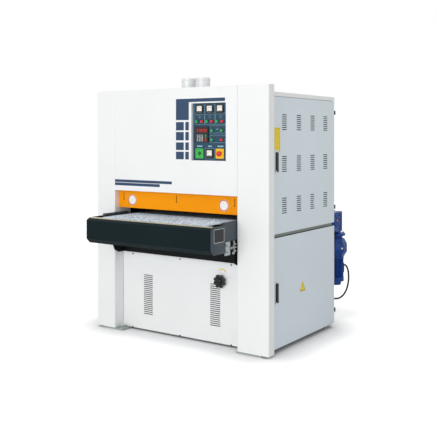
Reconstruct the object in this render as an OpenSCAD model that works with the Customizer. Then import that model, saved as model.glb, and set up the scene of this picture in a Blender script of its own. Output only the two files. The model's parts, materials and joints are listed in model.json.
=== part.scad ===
// Wide belt sander: three sanding heads over a lifting conveyor table, in a sheet metal body.
// Millimetres. Origin on the floor, midway between the four anchor bolts.
// X runs to the right as seen from the front, Y to the back along the feed, Z up.

/* [Body] */
// Width over the two front columns
body_w = 1700; // [1680:5:1800]
// Depth from the column fronts to the rear panels
body_d = 1130; // [1120:5:1200]
// Height of the front columns
body_h = 2000; // [1980:5:2060]
// Width of the left column
left_column_w = 200; // [190:5:205]
// Width of the right column, in front of the drives
right_column_w = 275; // [270:5:285]
// Outer wall of a column, folded back along the side
column_return_d = 80; // [60:5:90]
// Inner wall of a column beside the table
column_inner_d = 200; // [160:5:205]
// Thickness of the skins
sheet_t = 2; // [1.5:0.5:2.5]
// Depth of the folded rim of a door or panel
pan_d = 22; // [18:1:24]
// Set-back of the side doors from the columns
door_inset = 24; // [15:1:28]
// Gap round a door
door_gap = 3; // [2:0.5:4]
// Height of the skins above the floor
base_z = 15; // [10:1:18]
// Top of the roof
roof_z = 1950; // [1940:5:1960]
// Lower edge of the band between the side doors
band_z = 862; // [855:1:866]
// Height of the band between the side doors
band_h = 28; // [20:1:34]

/* [Front] */
// Set-back of the lower front panel
lower_panel_inset = 106; // [104:1:110]
// Top of the lower front panel
lower_panel_z = 646; // [620:1:648]
// Set-back of the infeed guard
guard_inset = 53; // [40:1:60]
// Lower edge of the infeed guard
guard_z = 1024; // [1020:1:1032]
// Lower edge of the upper front panel
upper_panel_z = 1170; // [1150:5:1190]

/* [Table] */
// Widest workpiece
working_w = 1000; // [950:10:1005]
// Top of the feed belt
table_z = 970; // [966:1:972]
// Width over the table's end caps
table_w = 1216; // [1214:1:1219]
// Front of the infeed cover ahead of the columns
infeed_overhang = 335; // [320:5:360]
// Axis of the drive roller behind the rear panels
outfeed_overhang = 420; // [400:5:450]
// Diameter of the infeed roller
infeed_roller_d = 180; // [160:2:182]
// Diameter of the drive roller
drive_roller_d = 220; // [200:2:224]
// Thickness of the feed belt
feed_belt_t = 4; // [3:0.5:5]
// Diameter of the four lifting screws
lift_screw_d = 40; // [30:1:44]

/* [Sanding heads] */
// Height of the contact line, where the belts meet the work
contact_z = 1005; // [1004:1:1008]
// Diameter of the contact rollers
contact_roller_d = 170; // [160:1:172]
// Diameter of the upper idler rollers
idler_roller_d = 90; // [80:1:94]
// Height of the idler axes
idler_z = 1800; // [1780:1:1802]
// First head behind the column fronts
first_head_d = 250; // [248:1:260]
// Distance between heads
head_pitch = 270; // [266:1:274]
// Thickness of a sanding belt
sanding_belt_t = 2; // [1.5:0.1:2.2]
// Diameter of the roller journals
journal_d = 45; // [35:1:48]

/* [Main drives] */
// Pulleys on the contact rollers
roller_pulley_d = 150; // [140:2:160]
// Pulleys on the motors
motor_pulley_d = 180; // [170:2:184]
// Diameter of a main motor
main_motor_d = 210; // [190:2:214]
// Length of a main motor
main_motor_l = 360; // [320:5:370]
// Height of the motor shafts
main_motor_z = 330; // [326:1:340]
// Strands of V belt in one drive
strands = 3; // [2:1:3]

/* [Feed drive] */
// Upright axis of the feed drive behind the drive roller
worm_offset = 75; // [72:1:80]
// Diameter of the feed motor
feed_motor_d = 164; // [140:2:170]
// Underside of the feed motor
feed_motor_z = 246; // [240:2:260]
// Diameter of the motor cable
cable_d = 16; // [12:1:17]

/* [Control panel] */
// Width of the control panel
panel_w = 324; // [320:2:330]
// Height of the control panel
panel_h = 443; // [438:1:446]
// Depth of the recess that holds it
panel_recess = 27; // [24:1:32]
// Centre line of the control panel, to the right of the machine's centre
panel_x = 312; // [300:1:320]
// Lower edge of the control panel
panel_z = 1432; // [1425:1:1440]
// Diameter of a push button's collar
button_d = 28; // [26:1:30]
// Width of a panel meter
meter_w = 66; // [60:1:68]

/* [Dust outlets] */
// Outer diameter of a spigot
spigot_d = 120; // [100:5:125]
// Distance between the two spigots
spigot_pitch = 150; // [146:1:160]
// Height of a spigot above the roof
spigot_h = 157; // [120:1:170]

/* [Anchors] */
// Anchor bolts, side to side
anchor_pitch_x = 1220; // [1200:5:1230]
// Anchor bolts, front to back
anchor_pitch_y = 1030; // [1020:5:1040]
// Diameter of an anchor hole
anchor_hole_d = 18; // [14:1:22]

/* [Hidden] */
$fn = 64;
bend_facets = 16;
loop_facets = 48;
over = 1;
seat_gap = 0.3;
run_gap = 0.05;
roller_gap = 0.4;

left_x = -body_w / 2;
right_x = body_w / 2;
front_y = -body_d / 2;
rear_y = body_d / 2;
open_x0 = left_x + left_column_w;
open_x1 = right_x - right_column_w;
open_w = open_x1 - open_x0;
work_x = (open_x0 + open_x1) / 2;
door_x = right_x - door_inset;
door_front_y = front_y + column_return_d + door_gap;
door_rear_y = rear_y - door_gap;
door_w = door_rear_y - door_front_y;
bend_r = 2 * sheet_t;

// Frame of welded box section
beam_w = 80;
post_x = door_x - pan_d - seat_gap - beam_w;
base_beam_x = post_x - 20;
frame_front_y = front_y + 25;
frame_rear_y = rear_y - 5;
roof_under_z = roof_z - sheet_t;
plate_t = 8;
plate_front_y = front_y + column_inner_d + over;
lock_w = 50;
lock_z = 1190;

// Doors and their louvres
lower_door_z = base_z + 21;
upper_door_z = band_z + band_h;
upper_door_top_z = roof_z - 35;
slot_w = 70;
slot_h = 7;
slot_pitch = 16;
slots_per_vent = 8;
louvre_d = 5;
vent_columns = 4;
vent_first_share = 0.147;
vent_pitch_share = 0.219;
vent_row_shares = [0.142, 0.449, 0.757];
front_vent_x_shares = [0.226, 0.778];
front_vent_w = 95;
front_slots = 21;
front_vent_z = 143;

// Hinges and handles
pin_r = 5;
knuckle_r = 8;
knuckle_h = 17;
hinge_x = door_x - knuckle_r + 4;
hinge_y = rear_y + knuckle_r + over;
hinge_end_share = 0.11;
leaf_t = 3;
lever_h = 150;
lever_w = 30;
lever_t = 12;
lever_pin_r = 3;
lever_y = door_front_y + 66;
upper_lever_z = upper_door_z + 462;
lower_lever_z = lower_door_z + 341;
handle_base_t = 3;

// Table
feed_belt_w = working_w + 30;
side_plate_t = 10;
side_plate_out = table_w / 2 - 8;
side_plate_in = side_plate_out - side_plate_t;
infeed_y = front_y - infeed_overhang + 110;
infeed_z = table_z - feed_belt_t - roller_gap - infeed_roller_d / 2;
drive_y = rear_y + outfeed_overhang;
drive_z = table_z - feed_belt_t - roller_gap - drive_roller_d / 2;
bed_top_z = table_z - feed_belt_t - roller_gap;
bed_t = 10;
bed_rib_h = 60;
bed_ribs = 6;
lobe_z = lower_panel_z + 4;
lobe_r = 70;
side_plate_z = 760;
panel_clear = 6;
cover_t = 3;
cover_end_t = 4;
cover_chamfer = 35;
cover_low_z = 765;
cover_back_y = front_y - 147;
guard_channel_w = 33;
guard_channel_h = 137;
table_shaft_r = 20;
screw_flange_r = 36;
screw_flange_t = 10;
cross_beam_h = 60;
cross_beam_z = lobe_z + screw_flange_t;
jack_x_share = 0.444;
jack_front_y = front_y + lower_panel_inset + pan_d + panel_clear + screw_flange_r;
jack_rear_y = rear_y - 95;
jack_beam_y = front_y + lower_panel_inset + pan_d + seat_gap;
foot_half = 45;
jack_r = 38;
jack_top_z = 420;
screw_low_z = 180;
screw_pit_z = 50;

// Heads
contact_axis_z = contact_z + sanding_belt_t + roller_gap + contact_roller_d / 2;
roller_half = working_w / 2 + 20;
sanding_half = working_w / 2 + 15;
end_plate_in = roller_half + 10;
end_plate_t = 15;
end_plate_half = 60;
end_plate_low_z = 1038;
end_plate_high_z = idler_z + 48;
journal_hole_r = 32;
bearing_r = 48;
bearing_t = 25;
head_beam_w = 90;
head_beam_z = 1400;
head_beam_h = 150;
platen_w = 46;
platen_h = 60;
platen_r = 18;
platen_front = contact_roller_d / 2 + 8;
platen_rear = platen_front + platen_w;
head_ys = [for (i = [0 : 2]) front_y + first_head_d + i * head_pitch];

// Main drives
pulley_w = 54;
pulley_x = open_x1 + 25;
groove_pitch = 17;
groove_w = 13;
groove_root_w = 9;
groove_d = 11;
strand_w = 8;
strand_t = 8;
motor_shaft_r = 19;
motor_ys = [for (y = head_ys) y + 85];
motor_end_x = open_x1 - 35;
motor_foot_z = 215;
motor_foot_w = 160;
rail_w = 40;

// Feed drive
drive_x = open_x1 + 55;
worm_y = drive_y + worm_offset;
wheel_case_r = 78;
wheel_case_w = 100;
worm_case_r = 54;
worm_case_low_z = 752;
worm_case_high_z = 932;
flange_r = 125;
flange_t = 18;
flange_z = 700;
variator_z0 = 511;
variator_z1 = 663;
variator_r = 92;
lobe_case_r = 78;
lobe_case_y = worm_y + 98;
lobe_case_z = 587;
dial_r = 28;

// Knob on the lower front panel
knob_x = work_x + 398;
knob_z = 500;
knob_r = 43;
knob_lobe_r = 11;
knob_lobes = 8;
knob_t = 26;
knob_stand = 12;
knob_shaft_r = 8;

// Control panel layout, as shares of its width and height from the lower left corner
panel_t = 3;
panel_lip = 10;
button_stand = 10;
collar_h = 6;
button_travel = 4;
button_r = button_d / 2 - 4;
stem_r = 7;
column_shares = [0.19, 0.485, 0.78];
meter_row_share = 0.896;
pair_row_share = 0.679;
start_offset = -24;
stop_offset = 24;
lift_row_share = 0.519;
feed_row_share = 0.361;
side_button_shares = [0.563, 0.838];
foot_row_share = 0.122;
display_x_share = 0.27;
display_z_share = 0.454;
display_w = 118;
display_h = 120;
display_t = 8;
meter_t = 9;
plate_button_w = 76;
mushroom_r = 20;
mushroom_stand = 26;

// Dust duct
duct_x_half = working_w / 2;
duct_d = 66;
duct_low_z = 1150;
duct_t = 3;
plenum_z = 1868;
plenum_top_z = roof_under_z - 8;
spigot_y = front_y + 400;
spigot_x = work_x - 63;

// Cable from the feed motor's gland to the gland in the rear panel
gland_r = 13;
gland_l = 22;
cable_sides = 10;
cable_steps = 6;
cable_points = [
    [632, 1187, 423], [632, 1225, 405], [634, 1262, 345], [636, 1278, 265], [638, 1262, 190],
    [640, 1210, 148], [642, 1130, 130], [644, 960, 118], [646, 780, 110], [648, 650, 110], [648, 587, 110]
];

// A box between two values on each axis
module slab(x0, x1, y0, y1, z0, z1) {
    translate([x0, y0, z0]) cube([x1 - x0, y1 - y0, z1 - z0]);
}

// A cylinder along X, centred on y = z = 0
module bar_x(x0, x1, r) {
    translate([x0, 0, 0]) rotate([0, 90, 0]) cylinder(h = x1 - x0, r = r);
}

// A cylinder along Y, from y0 to y1
module bar_y(y0, y1, r) {
    translate([0, y1, 0]) rotate([90, 0, 0]) cylinder(h = y1 - y0, r = r);
}

// Copies mirrored about the middle of the working width
module both_sides() {
    for (side = [-1, 1]) translate([work_x, 0, 0]) scale([side, 1, 1]) children();
}

// Extrudes an outline drawn in Y and Z along X, from x0 to x1
module along_x(x0, x1) {
    translate([x0, 0, 0]) rotate([90, 0, 90]) linear_extrude(height = x1 - x0) children();
}

// Folded sheet: a front wall with its two corners bent back
module fold_outline(w, d, r) {
    intersection() {
        translate([r, r]) offset(r = r, $fn = bend_facets) square([w - 2 * r, 2 * d]);
        square([w, d]);
    }
}

// A pan of folded sheet, its face at y = 0 towards the front and its rim behind
module pan(w, h, d = pan_d) {
    difference() {
        linear_extrude(height = h) fold_outline(w, d, bend_r);
        translate([sheet_t, sheet_t, sheet_t]) linear_extrude(height = h - 2 * sheet_t)
            fold_outline(w - 2 * sheet_t, d, bend_r - sheet_t);
    }
}

// Slots of one vent, through the face of a pan
module vent_slots(w, count) {
    for (i = [0 : count - 1]) translate([0, -over, i * slot_pitch]) cube([w, sheet_t + 2 * over, slot_h]);
}

// Louvres of one vent, each lanced from the upper edge of its slot and bent inwards
module vent_louvres(w, count) {
    depth = sheet_t + louvre_d;
    drop = slot_h / 2;
    for (i = [0 : count - 1]) translate([0, 0, i * slot_pitch + slot_h]) rotate([90, 0, 90])
        linear_extrude(height = w) polygon([[0, 0], [depth, -drop], [depth, sheet_t / 2 - drop],
            [sheet_t, sheet_t], [0, sheet_t]]);
}

// Places a pan drawn face-forwards on the right side, the left side or the rear
module on_right(z) { translate([door_x, door_front_y, z]) rotate([0, 0, 90]) children(); }
module on_left(z) { translate([-door_x, door_rear_y, z]) rotate([0, 0, -90]) children(); }

module upper_side_pan(h) {
    difference() {
        pan(door_w, h);
        for (c = [0 : vent_columns - 1], s = vent_row_shares)
            translate([(vent_first_share + c * vent_pitch_share) * door_w, 0, s * h])
                vent_slots(slot_w, slots_per_vent);
    }
    for (c = [0 : vent_columns - 1], s = vent_row_shares)
        translate([(vent_first_share + c * vent_pitch_share) * door_w, 0, s * h])
            vent_louvres(slot_w, slots_per_vent);
}

// The frame

module base_frame() {
    foot_x = anchor_pitch_x / 2;
    foot_y = anchor_pitch_y / 2;
    beam_z = base_z + beam_w;
    color("#9aa39e") difference() {
        union() {
            for (side = [-1, 1]) {
                scale([side, 1, 1]) slab(base_beam_x, base_beam_x + beam_w, frame_front_y, frame_rear_y, base_z, beam_z);
                for (end = [-1, 1]) scale([side, end, 1])
                    slab(foot_x - foot_half, base_beam_x + beam_w, foot_y - foot_half, foot_y + foot_half, 0, base_z);
            }
            slab(-base_beam_x, base_beam_x, jack_beam_y, jack_front_y + foot_half, base_z, beam_z);
            slab(-base_beam_x, base_beam_x, jack_rear_y - foot_half, jack_rear_y + foot_half, base_z, beam_z);
            for (x = [motor_end_x - main_motor_l + rail_w, motor_end_x - 2 * rail_w])
                slab(x, x + rail_w, jack_front_y, jack_rear_y, base_z, motor_foot_z);
            for (side = [-1, 1], y = [jack_front_y, jack_rear_y])
                translate([work_x + side * jack_x_share * table_w, y, base_z]) cylinder(h = jack_top_z - base_z, r = jack_r);
        }
        for (side = [-1, 1], end = [-1, 1]) translate([side * foot_x, end * foot_y, -over])
            cylinder(h = base_z + 2 * over, d = anchor_hole_d);
        for (side = [-1, 1], y = [jack_front_y, jack_rear_y])
            translate([work_x + side * jack_x_share * table_w, y, screw_pit_z])
                cylinder(h = jack_top_z - screw_pit_z + over, r = lift_screw_d / 2 + run_gap);
    }
}

module side_post_frame() {
    base_top_z = base_z + beam_w;
    slab(post_x, post_x + beam_w, frame_front_y, frame_front_y + beam_w, base_top_z, roof_under_z);
    slab(post_x, post_x + beam_w, frame_rear_y - beam_w, frame_rear_y, base_top_z, roof_under_z);
    slab(post_x, post_x + beam_w, frame_front_y, frame_rear_y, roof_under_z - beam_w, roof_under_z);
    slab(post_x, post_x + beam_w, frame_front_y, frame_rear_y, band_z - beam_w / 4, band_z + band_h + beam_w / 4);
}

module side_frames() {
    base_top_z = base_z + beam_w;
    rear_edge_y = frame_rear_y - beam_w / 4;
    color("#a8b2ac") {
        scale([-1, 1, 1]) side_post_frame();
        difference() {
            union() {
                side_post_frame();
                slab(open_x1, open_x1 + plate_t, plate_front_y, rear_edge_y, base_top_z, roof_under_z - beam_w / 2);
                for (y = [plate_front_y, rear_edge_y - beam_w / 2])
                    slab(open_x1, post_x, y, y + beam_w / 2, roof_under_z - beam_w, roof_under_z - beam_w / 2);
            }
            for (i = [0 : 2]) {
                translate([0, head_ys[i], contact_axis_z]) bar_x(open_x1 - over, open_x1 + plate_t + over, journal_hole_r);
                translate([0, motor_ys[i], main_motor_z]) bar_x(open_x1 - over, open_x1 + plate_t + over, journal_hole_r);
            }
        }
    }
}

module head_frames() {
    color("#56616a") for (i = [0 : 2]) {
        rear = i == 2 ? platen_rear : end_plate_half;
        translate([0, head_ys[i], 0]) {
            both_sides() difference() {
                union() {
                    slab(end_plate_in, end_plate_in + end_plate_t, -end_plate_half, end_plate_half, end_plate_low_z, end_plate_high_z);
                    slab(end_plate_in, end_plate_in + end_plate_t, -end_plate_half, rear, end_plate_low_z, contact_axis_z + bearing_r);
                }
                for (z = [contact_axis_z, idler_z]) translate([0, 0, z])
                    bar_x(end_plate_in - over, end_plate_in + end_plate_t + over, journal_hole_r);
            }
            slab(work_x - end_plate_in, open_x1, -head_beam_w / 2, head_beam_w / 2, head_beam_z, head_beam_z + head_beam_h);
            slab(-post_x - lock_w, -post_x, -lock_w / 2, lock_w / 2, band_z + band_h + beam_w / 4, lock_z + lock_w);
            slab(-post_x, work_x - end_plate_in - end_plate_t, -lock_w / 2, lock_w / 2, lock_z, lock_z + lock_w);
        }
    }
}

// The skins

module column_shell(w) {
    t = 1.5 * sheet_t;
    r = 4 * sheet_t;
    h = body_h - base_z;
    beam_d = jack_beam_y - seat_gap - front_y;
    difference() {
        union() {
            linear_extrude(height = h) difference() {
                fold_outline(w, column_inner_d, r);
                translate([t, t]) fold_outline(w - 2 * t, column_inner_d, r - t);
            }
            translate([0, 0, h - t]) linear_extrude(height = t) fold_outline(w, column_return_d, r);
        }
        translate([-over, column_return_d, -over]) cube([w / 2, column_inner_d, h + 2 * over]);
        translate([0, column_return_d, upper_door_top_z - base_z]) cube([w + over, column_inner_d, h]);
        translate([w / 2, beam_d, -over]) cube([w, column_inner_d, beam_w + seat_gap + over]);
    }
}

module left_column() {
    color("#f3f4f3") translate([left_x, front_y, base_z]) column_shell(left_column_w);
}

module right_column() {
    color("#f3f4f3") translate([right_x, front_y, base_z]) scale([-1, 1, 1]) column_shell(right_column_w);
}

module upper_front_panel() {
    x0 = panel_x - panel_w / 2 - open_x0;
    z0 = panel_z - upper_panel_z;
    pocket_d = panel_recess + panel_t + sheet_t;
    color("#f3f4f3") translate([open_x0, front_y, upper_panel_z]) {
        difference() {
            pan(open_w, body_h - upper_panel_z);
            translate([x0, -over, z0]) cube([panel_w, pan_d, panel_h]);
        }
        difference() {
            translate([x0 - sheet_t, 0, z0 - sheet_t]) cube([panel_w + 2 * sheet_t, pocket_d, panel_h + 2 * sheet_t]);
            translate([x0, -over, z0]) cube([panel_w, panel_recess + panel_t + over, panel_h]);
            translate([x0 + panel_lip, 0, z0 + panel_lip])
                cube([panel_w - 2 * panel_lip, pocket_d + over, panel_h - 2 * panel_lip]);
        }
    }
}

module lower_front_panel() {
    boss_h = 12;
    knob_at = [knob_x - open_x0, 0, knob_z - base_z];
    color("#f3f4f3") translate([open_x0, front_y + lower_panel_inset, base_z]) {
        difference() {
            union() {
                pan(open_w, lower_panel_z - base_z);
                translate(knob_at) bar_y(0, sheet_t + boss_h, 2 * knob_shaft_r);
            }
            translate(knob_at) bar_y(-over, sheet_t + boss_h + over, knob_shaft_r + run_gap);
            for (s = front_vent_x_shares) translate([s * open_w - front_vent_w / 2, 0, front_vent_z - base_z])
                vent_slots(front_vent_w, front_slots);
        }
        for (s = front_vent_x_shares) translate([s * open_w - front_vent_w / 2, 0, front_vent_z - base_z])
            vent_louvres(front_vent_w, front_slots);
    }
}

module fixed_panels() {
    rear_half = post_x + beam_w;
    color("#f3f4f3") {
        on_left(lower_door_z) pan(door_w, band_z - lower_door_z);
        for (z = [[base_z, lower_panel_z], [upper_panel_z, upper_door_top_z]])
            translate([rear_half, rear_y, z[0]]) rotate([0, 0, 180]) pan(2 * rear_half, z[1] - z[0], rear_y - frame_rear_y);
        translate([cable_points[10][0], rear_y, cable_points[10][2]]) bar_y(0, gland_l, gland_r);
    }
}

module roof_panel() {
    roof_y0 = front_y + column_return_d + seat_gap;
    rim_z = upper_door_top_z + door_gap;
    color("#f3f4f3") difference() {
        union() {
            slab(-door_x, door_x, roof_y0, rear_y, roof_under_z, roof_z);
            slab(open_x0 + seat_gap, open_x1 - seat_gap, front_y + pan_d + seat_gap, roof_y0, roof_under_z, roof_z);
            for (side = [-1, 1]) scale([side, 1, 1]) slab(door_x - sheet_t, door_x, roof_y0, rear_y, rim_z, roof_z);
            slab(-door_x, door_x, rear_y - sheet_t, rear_y, rim_z, roof_z);
        }
        for (side = [-1, 1]) translate([spigot_x + side * spigot_pitch / 2, spigot_y, roof_under_z - over])
            cylinder(h = sheet_t + 2 * over, r = spigot_d / 2 + seat_gap);
    }
}

module dust_duct() {
    t = duct_t;
    plenum_y0 = spigot_y - spigot_d / 2 - 3 * t;
    plenum_y1 = head_ys[1] + head_pitch / 2 + duct_d / 2 + t;
    duct_ys = [for (i = [0, 1]) head_ys[i] + head_pitch / 2];
    color("#b9bfc2") difference() {
        union() {
            slab(work_x - duct_x_half, work_x + duct_x_half, plenum_y0, plenum_y1, plenum_z, plenum_top_z);
            for (y = duct_ys)
                slab(work_x - duct_x_half, work_x + duct_x_half, y - duct_d / 2, y + duct_d / 2, duct_low_z, plenum_z);
            for (side = [-1, 1]) translate([spigot_x + side * spigot_pitch / 2, spigot_y, 0]) {
                translate([0, 0, plenum_z + t]) cylinder(h = roof_z + spigot_h - plenum_z - t, d = spigot_d);
                translate([0, 0, roof_z + seat_gap]) cylinder(h = t - seat_gap, r = spigot_d / 2 + 3 * t);
            }
        }
        slab(work_x - duct_x_half + t, work_x + duct_x_half - t, plenum_y0 + t, plenum_y1 - t, plenum_z + t, plenum_top_z - t);
        for (y = duct_ys) slab(work_x - duct_x_half + t, work_x + duct_x_half - t, y - duct_d / 2 + t,
            y + duct_d / 2 - t, duct_low_z - over, plenum_z + t + over);
        for (side = [-1, 1]) translate([spigot_x + side * spigot_pitch / 2, spigot_y, plenum_z + t])
            cylinder(h = roof_z + spigot_h, r = spigot_d / 2 - t);
    }
}

module infeed_guard() {
    guard_y = front_y + guard_inset;
    guard_t = 3;
    lip = 15;
    screw_slot_w = 7;
    screw_slot_h = 46;
    color("#f5a81c") difference() {
        union() {
            slab(open_x0 + seat_gap, open_x1 - seat_gap, guard_y, guard_y + guard_t, guard_z, upper_panel_z + lip);
            slab(open_x0 + seat_gap, open_x1 - seat_gap, guard_y, guard_y + lip, guard_z, guard_z + guard_t);
            for (x = [open_x0 + seat_gap, open_x1 - seat_gap - guard_t])
                slab(x, x + guard_t, guard_y, guard_y + 2 * lip, guard_z, upper_panel_z + lip);
        }
        for (s = [-0.455, 0, 0.455]) translate([work_x + s * open_w - screw_slot_w / 2, guard_y - over, guard_z + lip])
            translate([0, 0, screw_slot_h + lip]) cube([screw_slot_w, guard_t + 2 * over, screw_slot_h]);
    }
}

// Doors, hinges and handles

function hinge_zs(z0, z1) = [z0 + hinge_end_share * (z1 - z0), z1 - hinge_end_share * (z1 - z0)];
upper_hinge_zs = hinge_zs(upper_door_z, upper_door_top_z);
lower_hinge_zs = hinge_zs(lower_door_z, band_z);

module hinge_base(z) {
    translate([hinge_x, hinge_y, z]) {
        cylinder(h = knuckle_h, r = knuckle_r);
        cylinder(h = 2 * knuckle_h, r = pin_r);
    }
    slab(post_x + beam_w / 2, hinge_x, rear_y, rear_y + leaf_t, z, z + knuckle_h);
}

module door_hinges() {
    color("#2b2f30") {
        for (z = concat(upper_hinge_zs, lower_hinge_zs)) hinge_base(z);
        for (z = upper_hinge_zs) scale([-1, 1, 1]) hinge_base(z);
    }
}

module hinge_sleeves(zs) {
    for (z = zs) difference() {
        union() {
            translate([hinge_x, hinge_y, z + knuckle_h]) cylinder(h = knuckle_h, r = knuckle_r);
            slab(hinge_x - leaf_t / 2, hinge_x + leaf_t / 2, door_rear_y - sheet_t, hinge_y, z + knuckle_h, z + 2 * knuckle_h);
        }
        translate([hinge_x, hinge_y, z]) cylinder(h = 3 * knuckle_h, r = pin_r + run_gap);
    }
}

// Dished base of a swing handle with its two lugs
module handle_base(z) {
    lug_x = door_x + handle_base_t + lever_t;
    difference() {
        union() {
            slab(door_x - over, door_x + handle_base_t, lever_y - lever_w, lever_y + lever_w, z - lever_w / 2, z + lever_h + lever_w / 2);
            for (side = [-1, 1]) translate([0, lever_y + side * (lever_w + lever_t) / 2, 0])
                slab(door_x, lug_x, -lever_t / 4, lever_t / 4, z, z + lever_t);
        }
        translate([door_x + handle_base_t + lever_t / 2, lever_y, z + lever_t / 2])
            bar_y(-lever_w, lever_w, lever_pin_r + run_gap);
    }
}

module swing_lever(z) {
    x0 = door_x + handle_base_t + seat_gap;
    translate([door_x + handle_base_t + lever_t / 2, lever_y, z + lever_t / 2]) {
        bar_y(-lever_w / 2, lever_w / 2, lever_t / 2 - seat_gap);
        bar_y(-lever_w / 2 - lever_t / 2, lever_w / 2 + lever_t / 2, lever_pin_r);
    }
    slab(x0, x0 + lever_t, lever_y - lever_w / 2, lever_y + lever_w / 2, z + lever_t / 2, z + lever_h);
}

module right_upper_door() {
    color("#c9d0d8") {
        on_right(upper_door_z) upper_side_pan(upper_door_top_z - upper_door_z);
        hinge_sleeves(upper_hinge_zs);
        handle_base(upper_lever_z);
    }
}

module right_lower_door() {
    color("#c9d0d8") {
        on_right(lower_door_z) pan(door_w, band_z - lower_door_z);
        hinge_sleeves(lower_hinge_zs);
        handle_base(lower_lever_z);
    }
}

module left_upper_door() {
    color("#f3f4f3") {
        on_left(upper_door_z) upper_side_pan(upper_door_top_z - upper_door_z);
        scale([-1, 1, 1]) {
            hinge_sleeves(upper_hinge_zs);
            handle_base(upper_lever_z);
        }
    }
}

module right_upper_handle() { color("#1a1c1d") swing_lever(upper_lever_z); }
module right_lower_handle() { color("#1a1c1d") swing_lever(lower_lever_z); }
module left_upper_handle() { color("#1a1c1d") scale([-1, 1, 1]) swing_lever(upper_lever_z); }

// Heads

module contact_roller(i) {
    translate([0, head_ys[i], contact_axis_z]) {
        color("#2e3033") translate([work_x, 0, 0]) bar_x(-roller_half, roller_half, contact_roller_d / 2);
        color("#b8bcbf") bar_x(work_x - end_plate_in - end_plate_t - bearing_t, pulley_x + pulley_w + over, journal_d / 2);
        color("#70767a") translate([pulley_x, 0, 0]) v_pulley(roller_pulley_d / 2);
    }
}

module idler_roller(i) {
    reach = end_plate_in + end_plate_t + bearing_t;
    translate([work_x, head_ys[i], idler_z]) {
        color("#c3c7c9") bar_x(-roller_half, roller_half, idler_roller_d / 2);
        color("#b8bcbf") bar_x(-reach, reach, journal_d / 2);
    }
}

// A pulley along X from x = 0, with a V groove for each strand
module v_pulley(r) {
    first = (pulley_w - (strands - 1) * groove_pitch) / 2;
    grooves = [for (k = [0 : strands - 1], p = [[-groove_w / 2, 0], [-groove_root_w / 2, groove_d],
        [groove_root_w / 2, groove_d], [groove_w / 2, 0]]) [r - p[1], first + k * groove_pitch + p[0]]];
    rotate([0, 90, 0]) rotate_extrude() polygon(concat([[0, 0], [r, 0]], grooves, [[r, pulley_w], [0, pulley_w]]));
}

module motor_pulley(i) {
    translate([0, motor_ys[i], main_motor_z]) {
        color("#70767a") translate([pulley_x, 0, 0]) v_pulley(motor_pulley_d / 2);
        color("#b8bcbf") bar_x(motor_end_x - 60, pulley_x + pulley_w, motor_shaft_r);
    }
}

module roller_bearings() {
    color("#3f474d") for (y = head_ys, z = [contact_axis_z, idler_z]) both_sides() translate([0, y, z]) difference() {
        bar_x(end_plate_in + end_plate_t, end_plate_in + end_plate_t + bearing_t, bearing_r);
        bar_x(end_plate_in, end_plate_in + 2 * (end_plate_t + bearing_t), journal_d / 2 + run_gap);
    }
}

module platen() {
    y0 = head_ys[2] + platen_front;
    low_z = contact_z + sanding_belt_t + roller_gap;
    color("#6b4b35") difference() {
        union() {
            slab(work_x - end_plate_in, work_x + end_plate_in, y0, y0 + platen_w - platen_r, low_z + platen_r, low_z + platen_h);
            slab(work_x - end_plate_in, work_x + end_plate_in, y0, y0 + platen_w - platen_r, low_z, low_z + platen_r);
            translate([work_x, y0 + platen_w - platen_r, low_z + platen_r]) bar_x(-end_plate_in, end_plate_in, platen_r);
        }
        slab(work_x - sanding_half / 2, work_x + sanding_half / 2, y0 + platen_w / 8, y0 + platen_w / 3, low_z + platen_h / 2, low_z + platen_h + over);
    }
}

// Outline of a belt's inner or outer face round the rollers of one head, in Y and Z
module head_loop(i, grow) {
    hull() {
        translate([head_ys[i], contact_axis_z]) circle(r = contact_roller_d / 2 + roller_gap + grow, $fn = loop_facets);
        translate([head_ys[i], idler_z]) circle(r = idler_roller_d / 2 + roller_gap + grow, $fn = loop_facets);
        if (i == 2) translate([head_ys[i] + platen_rear - platen_r, contact_z + sanding_belt_t + roller_gap + platen_r])
            circle(r = platen_r + roller_gap + grow, $fn = loop_facets);
    }
}

module sanding_belts() {
    color("#8a4a2c") for (i = [0 : 2]) along_x(work_x - sanding_half, work_x + sanding_half) difference() {
        head_loop(i, sanding_belt_t - roller_gap / 2);
        head_loop(i, 0);
    }
}

module strand_loop(i, inset) {
    hull() {
        translate([head_ys[i], contact_axis_z]) circle(r = roller_pulley_d / 2 - inset, $fn = loop_facets);
        translate([motor_ys[i], main_motor_z]) circle(r = motor_pulley_d / 2 - inset, $fn = loop_facets);
    }
}

module drive_belts() {
    first = pulley_x + (pulley_w - (strands - 1) * groove_pitch) / 2;
    root_gap = 1;
    color("#202224") for (i = [0 : 2], k = [0 : strands - 1])
        along_x(first + k * groove_pitch - strand_w / 2, first + k * groove_pitch + strand_w / 2) difference() {
            strand_loop(i, groove_d - root_gap - strand_t);
            strand_loop(i, groove_d - root_gap);
        }
}

module main_motors() {
    fins = 12;
    fin_h = 6;
    cap_l = 30;
    fin_r = main_motor_d / 2 - fin_h / 3;
    color("#1d4f8f") for (y = motor_ys) translate([motor_end_x, y, main_motor_z]) difference() {
        union() {
            bar_x(-main_motor_l, 0, main_motor_d / 2 - fin_h);
            bar_x(-main_motor_l, -main_motor_l + 2 * cap_l, main_motor_d / 2);
            bar_x(-cap_l, 0, main_motor_d / 2);
            for (a = [0 : fins - 1]) rotate([a * 180 / fins, 0, 0])
                slab(-main_motor_l + cap_l, -cap_l, -fin_h / 4, fin_h / 4, -fin_r, fin_r);
            slab(-main_motor_l + rail_w, -rail_w, -motor_foot_w / 2, motor_foot_w / 2, motor_foot_z - main_motor_z, fin_h * 4 - main_motor_z + motor_foot_z);
        }
        bar_x(-60 - over, over, motor_shaft_r + run_gap);
    }
}

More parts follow.
